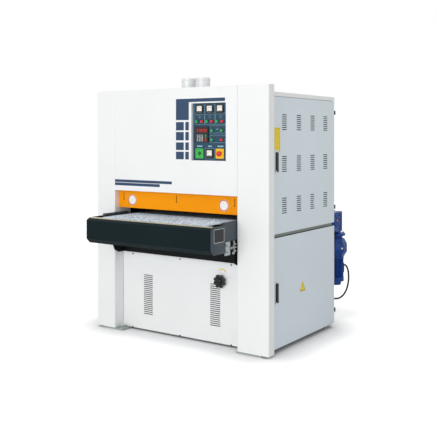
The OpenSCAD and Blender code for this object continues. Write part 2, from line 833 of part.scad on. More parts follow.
module electrical_panel() {
    plate_y0 = front_y + 165;
    plate_y1 = rear_y - 165;
    part_w = 45;
    part_h = 80;
    part_d = 66;
    rail_zs = [230, 420, 610];
    color("#d5d8d6") slab(base_beam_x, base_beam_x + sheet_t, plate_y0, plate_y1, base_z + beam_w, band_z - beam_w / 4);
    color("#5c6468") for (z = rail_zs, k = [0 : 11])
        slab(base_beam_x + sheet_t, base_beam_x + part_d + (k % 3) * sheet_t, plate_y0 + part_w + k * (part_w + part_w / 6),
            plate_y0 + 2 * part_w + k * (part_w + part_w / 6), z, z + part_h + (k % 2) * part_h / 4);
}

// The table

module side_plate_outline() {
    lobe_back_y = front_y + lower_panel_inset - panel_clear;
    drop_y = front_y + lower_panel_inset + pan_d + panel_clear;
    drop_end_y = rear_y - 45;
    nose_y = infeed_y - 60;
    nose_z = cover_low_z + cover_t + seat_gap;
    polygon([[nose_y, nose_z], [cover_back_y + seat_gap, nose_z], [cover_back_y + seat_gap, side_plate_z],
        [lobe_back_y - 2 * lobe_r, side_plate_z],
        [lobe_back_y - 2 * lobe_r, lobe_z + lobe_r], [lobe_back_y - 1.7 * lobe_r, lobe_z + lobe_r / 3], [lobe_back_y - lobe_r, lobe_z],
        [lobe_back_y, lobe_z], [lobe_back_y, side_plate_z - 10], [drop_y, side_plate_z - 10], [drop_y, lobe_z],
        [drop_end_y, lobe_z], [drop_end_y, side_plate_z - 20], [drive_y + 60, side_plate_z - 20],
        [drive_y + 90, side_plate_z + 60], [drive_y + 90, bed_top_z - 20], [drive_y + 60, bed_top_z], [nose_y, bed_top_z]]);
}

module table_frame() {
    bed_y0 = infeed_y + infeed_roller_d / 2 + 2 * feed_belt_t;
    bed_y1 = drive_y - drive_roller_d / 2 - 2 * feed_belt_t;
    apron_y = front_y + lower_panel_inset - panel_clear - 3 * sheet_t;
    color("#15191b") {
        both_sides() difference() {
            along_x(side_plate_in, side_plate_out) side_plate_outline();
            translate([0, infeed_y, infeed_z]) bar_x(side_plate_in - over, side_plate_out + over, table_shaft_r + run_gap);
            translate([0, drive_y, drive_z]) bar_x(side_plate_in - over, side_plate_out + over, table_shaft_r + run_gap);
        }
        translate([work_x, 0, 0]) {
            slab(-side_plate_in, side_plate_in, bed_y0, bed_y1, bed_top_z - bed_t, bed_top_z);
            for (k = [0 : bed_ribs - 1]) {
                y = bed_y0 + k * (bed_y1 - bed_y0 - bed_t) / (bed_ribs - 1);
                slab(-side_plate_in, side_plate_in, y, y + bed_t, bed_top_z - bed_rib_h, bed_top_z - bed_t);
            }
            slab(-side_plate_in, side_plate_in, apron_y, apron_y + 2 * sheet_t, lobe_z, side_plate_z);
            for (y = [jack_front_y, jack_rear_y])
                slab(-side_plate_in, side_plate_in, y - cross_beam_h / 2, y + cross_beam_h / 2, cross_beam_z, cross_beam_z + cross_beam_h);
        }
    }
}

module lift_screws() {
    color("#a9adb0") for (side = [-1, 1], y = [jack_front_y, jack_rear_y]) translate([work_x + side * jack_x_share * table_w, y, 0]) {
        translate([0, 0, screw_low_z]) cylinder(h = cross_beam_z - screw_low_z, d = lift_screw_d);
        translate([0, 0, cross_beam_z - screw_flange_t]) cylinder(h = screw_flange_t, r = screw_flange_r);
    }
}

module feed_loop(grow) {
    hull() {
        translate([infeed_y, infeed_z]) circle(r = infeed_roller_d / 2 + roller_gap + grow, $fn = loop_facets);
        translate([drive_y, drive_z]) circle(r = drive_roller_d / 2 + roller_gap + grow, $fn = loop_facets);
    }
}

module feed_belt() {
    color("#aab4bd") translate([work_x, 0, 0]) along_x(-feed_belt_w / 2, feed_belt_w / 2) difference() {
        feed_loop(feed_belt_t);
        feed_loop(0);
    }
}

module table_roller(y, z, d, x_end) {
    translate([work_x, y, z]) {
        bar_x(-feed_belt_w / 2 - 5, feed_belt_w / 2 + 5, d / 2);
        bar_x(-side_plate_out, x_end, table_shaft_r);
    }
}

module infeed_roller() { color("#8e9498") table_roller(infeed_y, infeed_z, infeed_roller_d, side_plate_out); }
module drive_roller() {
    color("#33373a") table_roller(drive_y, drive_z, drive_roller_d, drive_x + wheel_case_w / 4 - work_x);
}

// Closed outline of the infeed cover, in Y and Z
module cover_outline() {
    front = front_y - infeed_overhang;
    c = cover_chamfer;
    polygon([[cover_back_y, cover_low_z], [front + c, cover_low_z], [front, cover_low_z + c],
        [front, table_z - 0.6 * c], [front + c, table_z], [cover_back_y, table_z]]);
}

module infeed_cover() {
    lip_y = front_y - infeed_overhang + cover_chamfer + 3 * cover_t;
    half = table_w / 2;
    color("#18262b") translate([work_x, 0, 0]) difference() {
        along_x(-half, half) cover_outline();
        along_x(-half + cover_end_t, half - cover_end_t) offset(delta = -cover_t) cover_outline();
        slab(-half + cover_end_t, half - cover_end_t, lip_y, cover_back_y + over, cover_low_z + cover_t, table_z + over);
    }
}

module side_guards() {
    y1 = front_y + 135;
    t = 3;
    top_z = table_z + 15;
    color("#4a545a") both_sides() {
        difference() {
            slab(table_w / 2 - guard_channel_w, table_w / 2, cover_back_y, y1, top_z - guard_channel_h, top_z);
            slab(0, table_w / 2 - t, cover_back_y - over, y1 + over, 0, bed_top_z + seat_gap);
        }
    }
}

module tension_blocks() {
    block_w = 10;
    low_z = 745;
    high_z = 845;
    color("#aeb6ba") both_sides() {
        slab(side_plate_out, side_plate_out + block_w, cover_back_y, cover_back_y + 60, low_z, high_z);
        slab(side_plate_out, side_plate_out + block_w, cover_back_y + 100, cover_back_y + 120, low_z, high_z);
        translate([side_plate_out + block_w / 2, 0, (low_z + high_z) / 2]) bar_y(cover_back_y + 60, cover_back_y + 100, block_w / 2);
    }
}

// The feed drive, on the table's right-hand side plate

module worm_gearbox() {
    color("#174a9c") difference() {
        union() {
            translate([0, drive_y, drive_z]) bar_x(drive_x - wheel_case_w / 2, drive_x + wheel_case_w / 2, wheel_case_r);
            translate([0, drive_y, drive_z]) bar_x(work_x + side_plate_out, drive_x, wheel_case_r / 2);
            translate([drive_x, worm_y, worm_case_low_z]) cylinder(h = worm_case_high_z - worm_case_low_z, r = worm_case_r);
            translate([drive_x, worm_y, flange_z + flange_t]) cylinder(h = worm_case_low_z - flange_z - flange_t, r = worm_case_r * 0.8);
            translate([drive_x, worm_y, flange_z]) cylinder(h = flange_t, r = flange_r);
        }
        translate([0, drive_y, drive_z]) bar_x(0, drive_x + wheel_case_w / 4, table_shaft_r + run_gap);
    }
}

module speed_variator() {
    color("#174a9c") {
        translate([drive_x, worm_y, variator_z0]) cylinder(h = variator_z1 - variator_z0, r = variator_r);
        translate([drive_x, worm_y, variator_z1]) cylinder(h = flange_z - variator_z1, r = variator_r * 0.7);
        translate([drive_x, lobe_case_y, lobe_case_z]) rotate([0, 90, 0]) rotate([0, 0, 22.5])
            cylinder(h = 2 * variator_r * 0.8, r = lobe_case_r, center = true, $fn = 8);
        translate([0, lobe_case_y, lobe_case_z]) bar_x(drive_x, drive_x + variator_r, dial_r);
    }
}

module feed_motor() {
    cap_h = 45;
    box_w = 90;
    box_d = 40;
    gland_z = cable_points[0][2];
    color("#174a9c") {
        translate([drive_x, worm_y, feed_motor_z + cap_h]) cylinder(h = variator_z0 - feed_motor_z - cap_h, d = feed_motor_d);
        translate([drive_x, worm_y, feed_motor_z]) cylinder(h = cap_h, d1 = feed_motor_d * 0.86, d2 = feed_motor_d * 1.08);
        slab(drive_x - box_w / 2, drive_x + box_w / 2, worm_y, cable_points[0][1] - gland_l, gland_z - box_w / 2, gland_z + box_w / 2);
        translate([cable_points[0][0], 0, gland_z]) bar_y(cable_points[0][1] - gland_l, cable_points[0][1], gland_r);
    }
}

// A smooth run through hand-chosen points, and a tube swept along it
function spline(p, i, t) = let(
    a = p[max(i - 1, 0)], b = p[i], c = p[i + 1], d = p[min(i + 2, len(p) - 1)])
    0.5 * (2 * b + (c - a) * t + (2 * a - 5 * b + 4 * c - d) * t * t + (3 * b - a - 3 * c + d) * t * t * t);
function unit(v) = v / norm(v);

module swept_tube(points, d, sides) {
    path = concat([for (i = [0 : len(points) - 2], k = [0 : cable_steps - 1]) spline(points, i, k / cable_steps)],
        [points[len(points) - 1]]);
    last = len(path) - 1;
    rings = [for (i = [0 : last]) let(
        along = i == 0 ? [0, 1, 0] : i == last ? [0, -1, 0] : unit(path[i + 1] - path[i - 1]),
        side = unit(cross(along, cross([1, 0, 0], along))),
        up = cross(along, side))
        for (k = [0 : sides - 1]) path[i] + d / 2 * (cos(360 * k / sides) * side + sin(360 * k / sides) * up)];
    walls = [for (i = [0 : last - 1], k = [0 : sides - 1]) let(n = (k + 1) % sides)
        [i * sides + k, i * sides + n, (i + 1) * sides + n, (i + 1) * sides + k]];
    polyhedron(rings, concat([[for (k = [sides - 1 : -1 : 0]) k]], walls, [[for (k = [0 : sides - 1]) last * sides + k]]));
}

module motor_cable() { color("#26302f") swept_tube(cable_points, cable_d, cable_sides); }

// The knob that sets the table height by hand

module handwheel() {
    color("#141617") translate([knob_x, front_y + lower_panel_inset, knob_z]) {
        translate([0, -knob_stand, 0]) rotate([90, 0, 0]) linear_extrude(height = knob_t) {
            circle(r = knob_r);
            for (k = [0 : knob_lobes - 1]) rotate((k + 0.5) * 360 / knob_lobes) translate([knob_r, 0])
                circle(r = knob_lobe_r);
        }
        bar_y(-knob_stand - 1.3 * knob_t, -knob_stand - knob_t, knob_r / 2);
        bar_y(-knob_stand, 0, 1.5 * knob_shaft_r);
        bar_y(0, 3 * knob_stand, knob_shaft_r);
    }
}

// The control panel

panel_y = front_y + panel_recess;
function on_panel(sx, sz) = [panel_x + (sx - 0.5) * panel_w, panel_y, panel_z + sz * panel_h];
start_at = [for (s = column_shares) on_panel(s, pair_row_share) + [start_offset, 0, 0]];
stop_at = [for (s = column_shares) on_panel(s, pair_row_share) + [stop_offset, 0, 0]];
table_up_at = on_panel(side_button_shares[0], lift_row_share);
table_down_at = on_panel(side_button_shares[1], lift_row_share);
feed_start_at = on_panel(side_button_shares[0], feed_row_share);
feed_stop_at = on_panel(side_button_shares[1], feed_row_share);
power_at = on_panel(column_shares[0], foot_row_share);
emergency_at = on_panel(column_shares[2], foot_row_share);
meter_at = concat([for (s = column_shares) on_panel(s, meter_row_share)], [on_panel(column_shares[1], foot_row_share)]);
button_at = concat(start_at, stop_at, [table_up_at, table_down_at, feed_start_at, feed_stop_at, power_at, emergency_at]);

module control_panel() {
    margin = seat_gap;
    color("#1b4d66") difference() {
        union() {
            translate([panel_x - panel_w / 2 + margin, panel_y, panel_z + margin])
                cube([panel_w - 2 * margin, panel_t, panel_h - 2 * margin]);
            for (p = button_at) translate(p) bar_y(-collar_h, 0, button_d / 2);
            for (p = [power_at, emergency_at]) translate(p - [plate_button_w / 2, panel_t, plate_button_w / 2])
                cube([plate_button_w, panel_t, plate_button_w]);
        }
        for (p = button_at) translate(p) {
            bar_y(-collar_h - over, 0, button_r + seat_gap);
            bar_y(-over, panel_t + over, stem_r + seat_gap);
        }
    }
}

module panel_meters() {
    bezel = 8;
    color("#111416") {
        for (p = meter_at) translate(p - [meter_w / 2, meter_t, meter_w / 2]) difference() {
            cube([meter_w, meter_t, meter_w]);
            translate([bezel, -over, bezel]) cube([meter_w - 2 * bezel, meter_t / 2 + over, meter_w - 2 * bezel]);
        }
        translate(on_panel(display_x_share, display_z_share) - [display_w / 2, display_t, display_h / 2])
            cube([display_w, display_t, display_h]);
    }
}

// A spring-loaded button: cap in the collar, stem through the panel
module push_button(p) {
    translate(p) {
        bar_y(-button_stand - button_travel, -button_travel - over, button_r);
        bar_y(-button_travel - over, panel_t + 3 * button_travel, stem_r);
    }
}

module start_button(i) { color("#1fa24a") push_button(start_at[i]); }
module stop_button(i) { color("#d4202b") push_button(stop_at[i]); }
module table_up_button() { color("#1fa24a") push_button(table_up_at); }
module table_down_button() { color("#1fa24a") push_button(table_down_at); }
module feed_start_button() { color("#1fa24a") push_button(feed_start_at); }
module feed_stop_button() { color("#d4202b") push_button(feed_stop_at); }
module power_button() { color("#12702f") push_button(power_at); }

module emergency_stop() {
    color("#e0242c") translate(emergency_at) {
        bar_y(-mushroom_stand, -mushroom_stand + 2 * button_travel, mushroom_r);
        translate([0, -mushroom_stand, 0]) rotate([90, 0, 0]) cylinder(h = button_travel, r1 = mushroom_r, r2 = mushroom_r / 2);
        bar_y(-mushroom_stand + 2 * button_travel, -button_travel - over, button_r);
        bar_y(-button_travel - over, panel_t + 3 * button_travel, stem_r);
    }
}

base_frame();
side_frames();
head_frames();
left_column();
right_column();
upper_front_panel();
lower_front_panel();
fixed_panels();
roof_panel();
dust_duct();
infeed_guard();
door_hinges();
control_panel();
panel_meters();
electrical_panel();
main_motors();
sanding_belts();
drive_belts();
roller_bearings();
platen();
contact_roller(0);  // contact_roller_1
contact_roller(1);  // contact_roller_2
contact_roller(2);  // contact_roller_3
idler_roller(0);  // idler_roller_1
idler_roller(1);  // idler_roller_2
idler_roller(2);  // idler_roller_3
motor_pulley(0);  // motor_pulley_1
motor_pulley(1);  // motor_pulley_2
motor_pulley(2);  // motor_pulley_3
table_frame();
feed_belt();
infeed_cover();
side_guards();
tension_blocks();
lift_screws();
worm_gearbox();
speed_variator();
feed_motor();
motor_cable();
infeed_roller();
drive_roller();
handwheel();
right_upper_door();
right_lower_door();
left_upper_door();
right_upper_handle();
right_lower_handle();
left_upper_handle();
start_button(0);  // start_button_1
start_button(1);  // start_button_2
start_button(2);  // start_button_3
stop_button(0);  // stop_button_1
stop_button(1);  // stop_button_2
stop_button(2);  // stop_button_3
table_up_button();
table_down_button();
feed_start_button();
feed_stop_button();
power_button();
emergency_stop();
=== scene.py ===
"""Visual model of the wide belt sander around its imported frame, in metres."""
import json
import math

import bpy
import numpy as np
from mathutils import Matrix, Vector


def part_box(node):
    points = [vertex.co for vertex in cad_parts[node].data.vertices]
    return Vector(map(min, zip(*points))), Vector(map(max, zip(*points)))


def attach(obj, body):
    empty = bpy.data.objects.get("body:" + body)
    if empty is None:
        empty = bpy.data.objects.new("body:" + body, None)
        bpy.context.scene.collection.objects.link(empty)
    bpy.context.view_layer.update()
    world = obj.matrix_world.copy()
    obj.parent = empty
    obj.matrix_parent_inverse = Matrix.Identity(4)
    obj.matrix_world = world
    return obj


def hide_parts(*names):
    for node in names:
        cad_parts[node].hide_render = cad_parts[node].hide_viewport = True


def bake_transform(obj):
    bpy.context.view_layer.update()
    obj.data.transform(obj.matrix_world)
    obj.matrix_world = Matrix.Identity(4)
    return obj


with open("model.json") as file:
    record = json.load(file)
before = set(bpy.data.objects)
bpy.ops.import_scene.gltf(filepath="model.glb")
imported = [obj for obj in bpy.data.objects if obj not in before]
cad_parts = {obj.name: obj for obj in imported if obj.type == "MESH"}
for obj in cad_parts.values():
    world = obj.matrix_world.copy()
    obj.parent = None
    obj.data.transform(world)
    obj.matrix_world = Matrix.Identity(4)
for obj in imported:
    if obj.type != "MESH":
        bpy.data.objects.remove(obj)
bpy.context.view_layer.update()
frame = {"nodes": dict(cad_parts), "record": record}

# Camera, level and at the photograph's place

CAMERA_AT = (3.634, -5.234, 1.613)
CAMERA_YAW = 34.647
SENSOR_MM = 36
FOCAL_MM = 61.65
HORIZON_SHIFT = -0.1864
FAR_CLIP = 60

camera = bpy.data.objects.new("camera", bpy.data.cameras.new("camera"))
camera.location = CAMERA_AT
camera.rotation_euler = (math.radians(90), 0, math.radians(CAMERA_YAW))
camera.data.sensor_width = SENSOR_MM
camera.data.lens = FOCAL_MM
camera.data.shift_y = HORIZON_SHIFT
camera.data.clip_end = FAR_CLIP
bpy.context.scene.collection.objects.link(camera)
bpy.context.scene.camera = camera

# Places read from the frame

SUBPARTS = frame["record"]["subparts"]
OPEN_X0, LOWER_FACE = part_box("lower_front_panel")[0][:2]
OPEN_X1, _, LOWER_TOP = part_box("lower_front_panel")[1]
PANEL_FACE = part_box("upper_front_panel")[0].y
GUARD_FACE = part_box("infeed_guard")[0].y
PLATE_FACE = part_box("panel_meters")[1].y
SWITCHGEAR_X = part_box("electrical_panel")[0].x
SIDE_FACE, REAR_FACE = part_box("roof_panel")[1][:2]
DOOR_LOW, DOOR_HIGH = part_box("right_upper_door")
DOOR_REAR_GAP = 0.003
DOOR_Y0, DOOR_Y1 = DOOR_LOW.y, REAR_FACE - DOOR_REAR_GAP

# Shapes: each returns an array of corners and a list of faces

DIAGONAL = math.sqrt(0.5)
FACING = {
    "front": np.array([[1, 0, 0], [0, 0, 1], [0, -1, 0]], float),
    "back": np.array([[-1, 0, 0], [0, 0, 1], [0, 1, 0]], float),
    "right": np.array([[0, 1, 0], [0, 0, 1], [1, 0, 0]], float),
    "left": np.array([[0, -1, 0], [0, 0, 1], [-1, 0, 0]], float),
    "up": np.array([[1, 0, 0], [0, 1, 0], [0, 0, 1]], float),
    "down": np.array([[1, 0, 0], [0, -1, 0], [0, 0, -1]], float),
    "right_front": np.array([[DIAGONAL, DIAGONAL, 0], [0, 0, 1], [DIAGONAL, -DIAGONAL, 0]]),
}


def placed(at, facing, points):
    """Points (a, b, c) along a facing's right, up and outward axes, counted from at."""
    return np.asarray(at, float) + np.asarray(points, float) @ FACING[facing]


def circle(r, n, turn=0.0):
    """Angles t = turn + 2 pi k / n give the points (r cos t, r sin t)."""
    t = turn + 2 * np.pi * np.arange(n) / n
    return np.stack([r * np.cos(t), r * np.sin(t)], 1)


def rounded(w, h, r, n=5):
    """A rectangle's outline whose corners are quarter circles of radius r, counterclockwise."""
    r = max(r, 1e-5)
    start = np.repeat([0, 1, 2, 3], n)
    t = (start + np.tile(np.linspace(0, 1, n), 4)) * np.pi / 2
    cx = np.array([1, -1, -1, 1])[start] * (w / 2 - r)
    cy = np.array([1, 1, -1, -1])[start] * (h / 2 - r)
    return np.stack([cx + r * np.cos(t), cy + r * np.sin(t)], 1)


def raised(outline, height):
    """An outline's points (a, b) lifted to (a, b, height)."""
    return np.column_stack([outline, np.full(len(outline), height)])


def loft(rings, closed=False):
    """Skin over rings of equal count, with flat ends unless closed.

    Corner k of ring i joins corner k + 1 of that ring and both corners of ring i + 1.
    """
    rings = np.asarray(rings, float)
    m, n = rings.shape[:2]
    i, k = np.meshgrid(np.arange(m if closed else m - 1), np.arange(n), indexing="ij")
    up, side = (i + 1) % m, (k + 1) % n
    faces = np.stack([i * n + k, i * n + side, up * n + side, up * n + k], -1).reshape(-1, 4).tolist()
    if not closed:
        faces += [list(range(n))[::-1], list(range((m - 1) * n, m * n))]
    return rings.reshape(-1, 3), faces


def relief(at, facing, outline, steps):
    """An outline of (a, b) points, counterclockwise, skinned over steps of (scale, height)."""
    return loft([placed(at, facing, raised(np.asarray(outline) * scale, h)) for scale, h in steps])


def turned(at, facing, profile, n=40):
    """A profile of (radius, height) pairs turned once round the facing's outward axis."""
    return relief(at, facing, circle(1, n), profile)


def hoop(at, facing, outline, section):
    """A closed section of (scale, height) pairs, clockwise, carried round an outline."""
    rings = [placed(at, facing, raised(np.asarray(outline) * scale, h)) for scale, h in section]
    return loft(np.stack(rings, 1), closed=True)


def plate(at, facing, w, h, t, r=0.002, edge=0.0006):
    """A rounded plate of thickness t that stands on at, its upper edge drawn in by edge."""
    sets = [(0, 0), (0, t - edge), (edge, t)]
    return loft([placed(at, facing, raised(rounded(w - 2 * e, h - 2 * e, r - e), z)) for e, z in sets])


def block(low, high, edge=0.001):
    """A box between two corners with its upright and upper edges broken."""
    low, high = np.asarray(low, float), np.asarray(high, float)
    at = [(low[0] + high[0]) / 2, (low[1] + high[1]) / 2, low[2]]
    size = high - low
    return plate(at, "up", size[0], size[1], size[2], r=edge * 1.5, edge=edge)


def outlined(at, facing, w, h, line, t=0.0004, r=0.004):
    """A thin line round a rounded rectangle: a section of four corners carried round."""
    outer, inner = rounded(w, h, r), rounded(w - 2 * line, h - 2 * line, r - line)
    section = np.stack([raised(outer, t), raised(outer, 0), raised(inner, 0), raised(inner, t)], 1)
    return loft(placed(at, facing, section.reshape(-1, 3)).reshape(section.shape), closed=True)


def swept(path, r, n=16):
    """A circle of radius r carried along a path, square to its direction and never twisted about it."""
    path = np.asarray(path, float)
    along = np.gradient(path, axis=0)
    along /= np.linalg.norm(along, axis=1, keepdims=True)
    reference = np.array([1.0, 0, 0]) if abs(along[:, 0]).max() < 0.9 else np.array([0, 0, 1.0])
    side = np.cross(reference, along)
    side /= np.linalg.norm(side, axis=1, keepdims=True)
    up = np.cross(along, side)
    c = circle(r, n)
    return loft(path[:, None] + c[None, :, :1] * side[:, None] + c[None, :, 1:] * up[:, None])


def hex_bolt(at, facing, across, height):
    """A six-sided head with its upper corners taken off, and a round washer under it."""
    r = across / math.sqrt(3)
    washer = turned(at, facing, [(r * 1.15, 0), (r * 1.15, height * 0.2)], 24)
    head = relief(at, facing, circle(1, 6), [(r, height * 0.2), (r, height * 0.85), (r * 0.86, height)])
    return join(washer, head)


def round_screw(at, facing, r, height):
    """A pan head, quarter round at its rim, with a raised cross in its recess."""
    long, wide = r * 0.85, r * 0.2
    recess = placed(at, facing, [0, 0, height * 0.65])
    head = turned(at, facing, [(r, 0), (r, height * 0.45), (r * 0.85, height * 0.85), (r * 0.6, height),
                               (r * 0.55, height * 0.7)], 20)
    cross = [plate(recess, facing, a, b, height * 0.3, r=r * 0.05, edge=r * 0.03)
             for a, b in ((long, wide), (wide, long))]
    return join(head, *cross)


def join(*parts):
    """Several shapes as one: later faces count on from the earlier corners."""
    corners, faces, first = [], [], 0
    for v, f in parts:
        corners.append(v)
        faces += [[k + first for k in face] for face in f]
        first += len(v)
    return np.concatenate(corners), faces


SHARP_ANGLE = math.radians(35)


def piece(name, part, body, slot, finish=None, replaces=()):
    """Puts a shape into a mesh that rides on a body, with the slot's finish unless it has its own."""
    mesh = bpy.data.meshes.new(name)
    mesh.from_pydata(part[0].tolist(), [], part[1])
    mesh.materials.append(finish or FINISHES[slot])
    mesh.shade_smooth()
    mesh.set_sharp_from_angle(angle=SHARP_ANGLE)
    mesh.validate()
    obj = bpy.data.objects.new(name, mesh)
    bpy.context.scene.collection.objects.link(obj)
    if body:
        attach(obj, body)
    if replaces:
        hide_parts(*replaces)
    return obj


# Shader maths

class Value:
    """A number or colour over a surface: one socket, on which arithmetic adds Math nodes."""

    def __init__(self, finish, socket):
        self.finish, self.socket = finish, socket

    def math(self, operation, *others, flipped=False):
        args = (*others, self) if flipped else (self, *others)
        return self.finish.node("ShaderNodeMath", {"operation": operation}, dict(enumerate(args)))

    def __add__(self, other):
        return self.math("ADD", other)

    def __sub__(self, other):
        return self.math("SUBTRACT", other)

    def __mul__(self, other):
        return self.math("MULTIPLY", other)

    def __rsub__(self, other):
        return self.math("SUBTRACT", other, flipped=True)

    __radd__, __rmul__ = __add__, __mul__

    def above(self, edge, width):
        """0 below edge and 1 from edge + width on."""
        return self.finish.node("ShaderNodeMapRange", {"clamp": True}, {0: self, 1: edge, 2: edge + width})


def linear(colour):
    """A colour written as an sRGB hex number, in linear light."""
    c = np.array([colour >> 16 & 255, colour >> 8 & 255, colour & 255]) / 255
    return (*np.where(c <= 0.04045, c / 12.92, ((c + 0.055) / 1.055) ** 2.4), 1.0)


def shade(tone, scale):
    """A linear colour made darker or lighter, no brighter than white."""
    return (*np.minimum(tone * scale, 1), 1)


class Finish:
    """A procedural material: a Principled shader, and nodes that vary it over Object coordinates."""

    def __init__(self, name, **plain):
        self.material = bpy.data.materials.new(name)
        self.material.use_nodes = True
        self.tree = self.material.node_tree
        self.shader = self.tree.nodes["Principled BSDF"]
        for socket, value in plain.items():
            self.shader.inputs[socket.replace("_", " ")].default_value = value
        self.place = self.node("ShaderNodeTexCoord", {}, {}, "Object")

    def node(self, kind, settings, sockets, out=0):
        """Adds a node: its settings first, then a value or a link in each named socket."""
        node = self.tree.nodes.new(kind)
        for key, value in settings.items():
            setattr(node, key, value)
        for key, value in sockets.items():
            if isinstance(value, Value):
                self.tree.links.new(value.socket, node.inputs[key])
            else:
                node.inputs[key].default_value = value
        return Value(self, node.outputs[out])

    def axes(self):
        """The three Object coordinates as values."""
        split = self.node("ShaderNodeSeparateXYZ", {}, {0: self.place})
        return [Value(self, s) for s in split.socket.node.outputs]

    def noise(self, scale, detail=3.0, rough=0.5, stretch=(1, 1, 1)):
        """Smooth noise from 0 to 1, with scale features a metre, squeezed along each axis by stretch."""
        at = self.place
        if stretch != (1, 1, 1):
            at = self.node("ShaderNodeVectorMath", {"operation": "MULTIPLY"}, {0: at, 1: stretch})
        sockets = {"Vector": at, "Scale": scale, "Detail": detail, "Roughness": rough}
        return self.node("ShaderNodeTexNoise", {}, sockets)

    def cells(self, scale):
        """Distance from the nearest of scale scattered points a metre."""
        return self.node("ShaderNodeTexVoronoi", {"feature": "F1"}, {"Vector": self.place, "Scale": scale})

    def mix(self, factor, a, b):
        """Colour a where factor is 0 and b where it is 1."""
        return self.node("ShaderNodeMix", {"data_type": "RGBA"}, {0: factor, 6: a, 7: b}, 2)

    def set(self, socket, value):
        self.tree.links.new(value.socket, self.shader.inputs[socket])
        return self

    def bump(self, height, depth, strength=1.0):
        """Relief of the given depth in metres."""
        normal = self.node("ShaderNodeBump", {}, {"Height": height, "Distance": depth, "Strength": strength})
        return self.set("Normal", normal)


def paint(name, colour, rough=0.36, peel=0.00006, shift=0.05, shine=0.5, inner_shade_and_hinge=None):
    """Powder coat: one colour that drifts a little, fine orange peel, and patches that are duller.

    The last argument takes the three Object coordinates and gives 1 where black takes the coat's place,
    with no reflection: painted shade on the faces behind the skin, which makes the vent slots dark, and the
    black of a hinge fitting.
    """
    f = Finish(name, Specular_IOR_Level=shine)
    tone = np.array(linear(colour)[:3])
    drift = f.noise(1.7, 4).above(0.35, 0.3)
    speck = f.noise(60, 2).above(0.55, 0.3)
    base = f.mix(drift, shade(tone, 1 - shift), shade(tone, 1 + shift * 0.4))
    coat = f.mix(speck * 0.25, base, shade(tone, 1 - shift))
    if inner_shade_and_hinge:
        # Painted shade: black without reflection where the mask gives 1, besides the black of a hinge fitting
        shade_and_hinge = inner_shade_and_hinge(*f.axes())
        coat = f.mix(shade_and_hinge, coat, linear(0x060707))
        f.set("Specular IOR Level", (1 - shade_and_hinge) * shine)
    f.set("Base Color", coat)
    f.set("Roughness", f.noise(9, 3) * 0.12 + (rough - 0.06))
    return f.bump(f.noise(380, 2), peel).material


def enamel(name, colour, rough=0.22):
    """Brushed-on gloss enamel over a casting: shallow waves, grit of the casting and a clear top."""
    f = Finish(name, Coat_Weight=0.15, Coat_Roughness=0.15, Specular_IOR_Level=0.25)
    tone = np.array(linear(colour)[:3])
    f.set("Base Color", f.mix(f.noise(14, 4).above(0.4, 0.3), shade(tone, 0.82), shade(tone, 1.12)))
    f.set("Roughness", f.noise(40, 3) * 0.2 + rough)
    return f.bump(f.noise(120, 3) + f.cells(300) * 0.3, 0.00035).material


def rubber(name, colour, rough=0.7, grain=900, depth=0.0001):
    """Matt rubber: fine grain, a faint bloom in patches."""
    f = Finish(name)
    tone = np.array(linear(colour)[:3])
    bloom = shade(tone * 1.35 + 0.004, 1)
    f.set("Base Color", f.mix(f.noise(22, 4).above(0.45, 0.3), shade(tone, 1), bloom))
    f.set("Roughness", f.noise(70, 3) * 0.16 + (rough - 0.08))
    return f.bump(f.noise(grain, 2), depth).material


def plastic(name, colour, rough=0.3, grain=700, depth=0.00003, glow=0.0):
    """Moulded plastic: flow marks in the colour and a fine eroded grain."""
    tone = np.array(linear(colour)[:3])
    f = Finish(name, Emission_Color=(*tone, 1), Emission_Strength=glow)
    f.set("Base Color", f.mix(f.noise(50, 3).above(0.4, 0.3), shade(tone, 0.9), shade(tone, 1.08)))
    f.set("Roughness", f.noise(200, 2) * 0.12 + (rough - 0.06))
    return f.bump(f.cells(grain), depth).material


def metal(name, colour, rough=0.3, lines=(1, 1, 1), scale=200, depth=0.00004):
    """Bright metal with tool marks drawn out along the axis that lines squeezes."""
    f = Finish(name, Metallic=1.0)
    tone = np.array(linear(colour)[:3])
    marks = f.noise(scale, 3, 0.6, lines)
    f.set("Base Color", f.mix(marks, shade(tone, 0.85), shade(tone, 1.08)))
    f.set("Roughness", marks * 0.2 + (rough - 0.1))
    return f.bump(marks, depth).material


def galvanised(name):
    """Zinc sheet: large dull crystals of slightly different grey."""
    f = Finish(name, Metallic=0.12)
    crystal = f.node("ShaderNodeTexVoronoi", {"feature": "F1"}, {"Vector": f.place, "Scale": 70.0}, 1)
    grey = f.node("ShaderNodeSeparateColor", {}, {0: crystal})
    f.set("Base Color", f.mix(grey, linear(0xE2E5E6), linear(0xF1F3F3)))
    f.set("Roughness", grey * 0.2 + 0.34)
    return f.bump(f.noise(90, 2), 0.0001).material


# Where the belt's painted light has faded out, a little behind the guard's face
PAINTED_LIGHT_END = GUARD_FACE + 0.082


def feed_belt_rubber(name):
    """Rough-top conveyor belt: pale ridges a few millimetres across over darker grey.

    Its open end glows a little: painted light that stands in for the daylight on it, and the glow fades out
    behind the guard.
    """
    f = Finish(name, Specular_IOR_Level=0.1)
    ridge = f.noise(110, 3, 0.65).above(0.46, 0.1)
    patch = f.noise(16, 4, 0.6, (1, 0.6, 1)).above(0.4, 0.25)
    pale = f.mix(patch, linear(0xC6D2DC), linear(0xDFE8EF))
    ink = f.mix(ridge, linear(0x6E7F90), pale)
    f.set("Base Color", ink).set("Emission Color", ink)
    # Painted light: emission on the open end of the belt, fading out behind the guard
    f.set("Emission Strength", (1 - f.axes()[1].above(PAINTED_LIGHT_END, 0.05)) * 0.6)
    f.set("Roughness", ridge * 0.15 + 0.75)
    return f.bump(f.noise(170, 3, 0.65), 0.0012).material


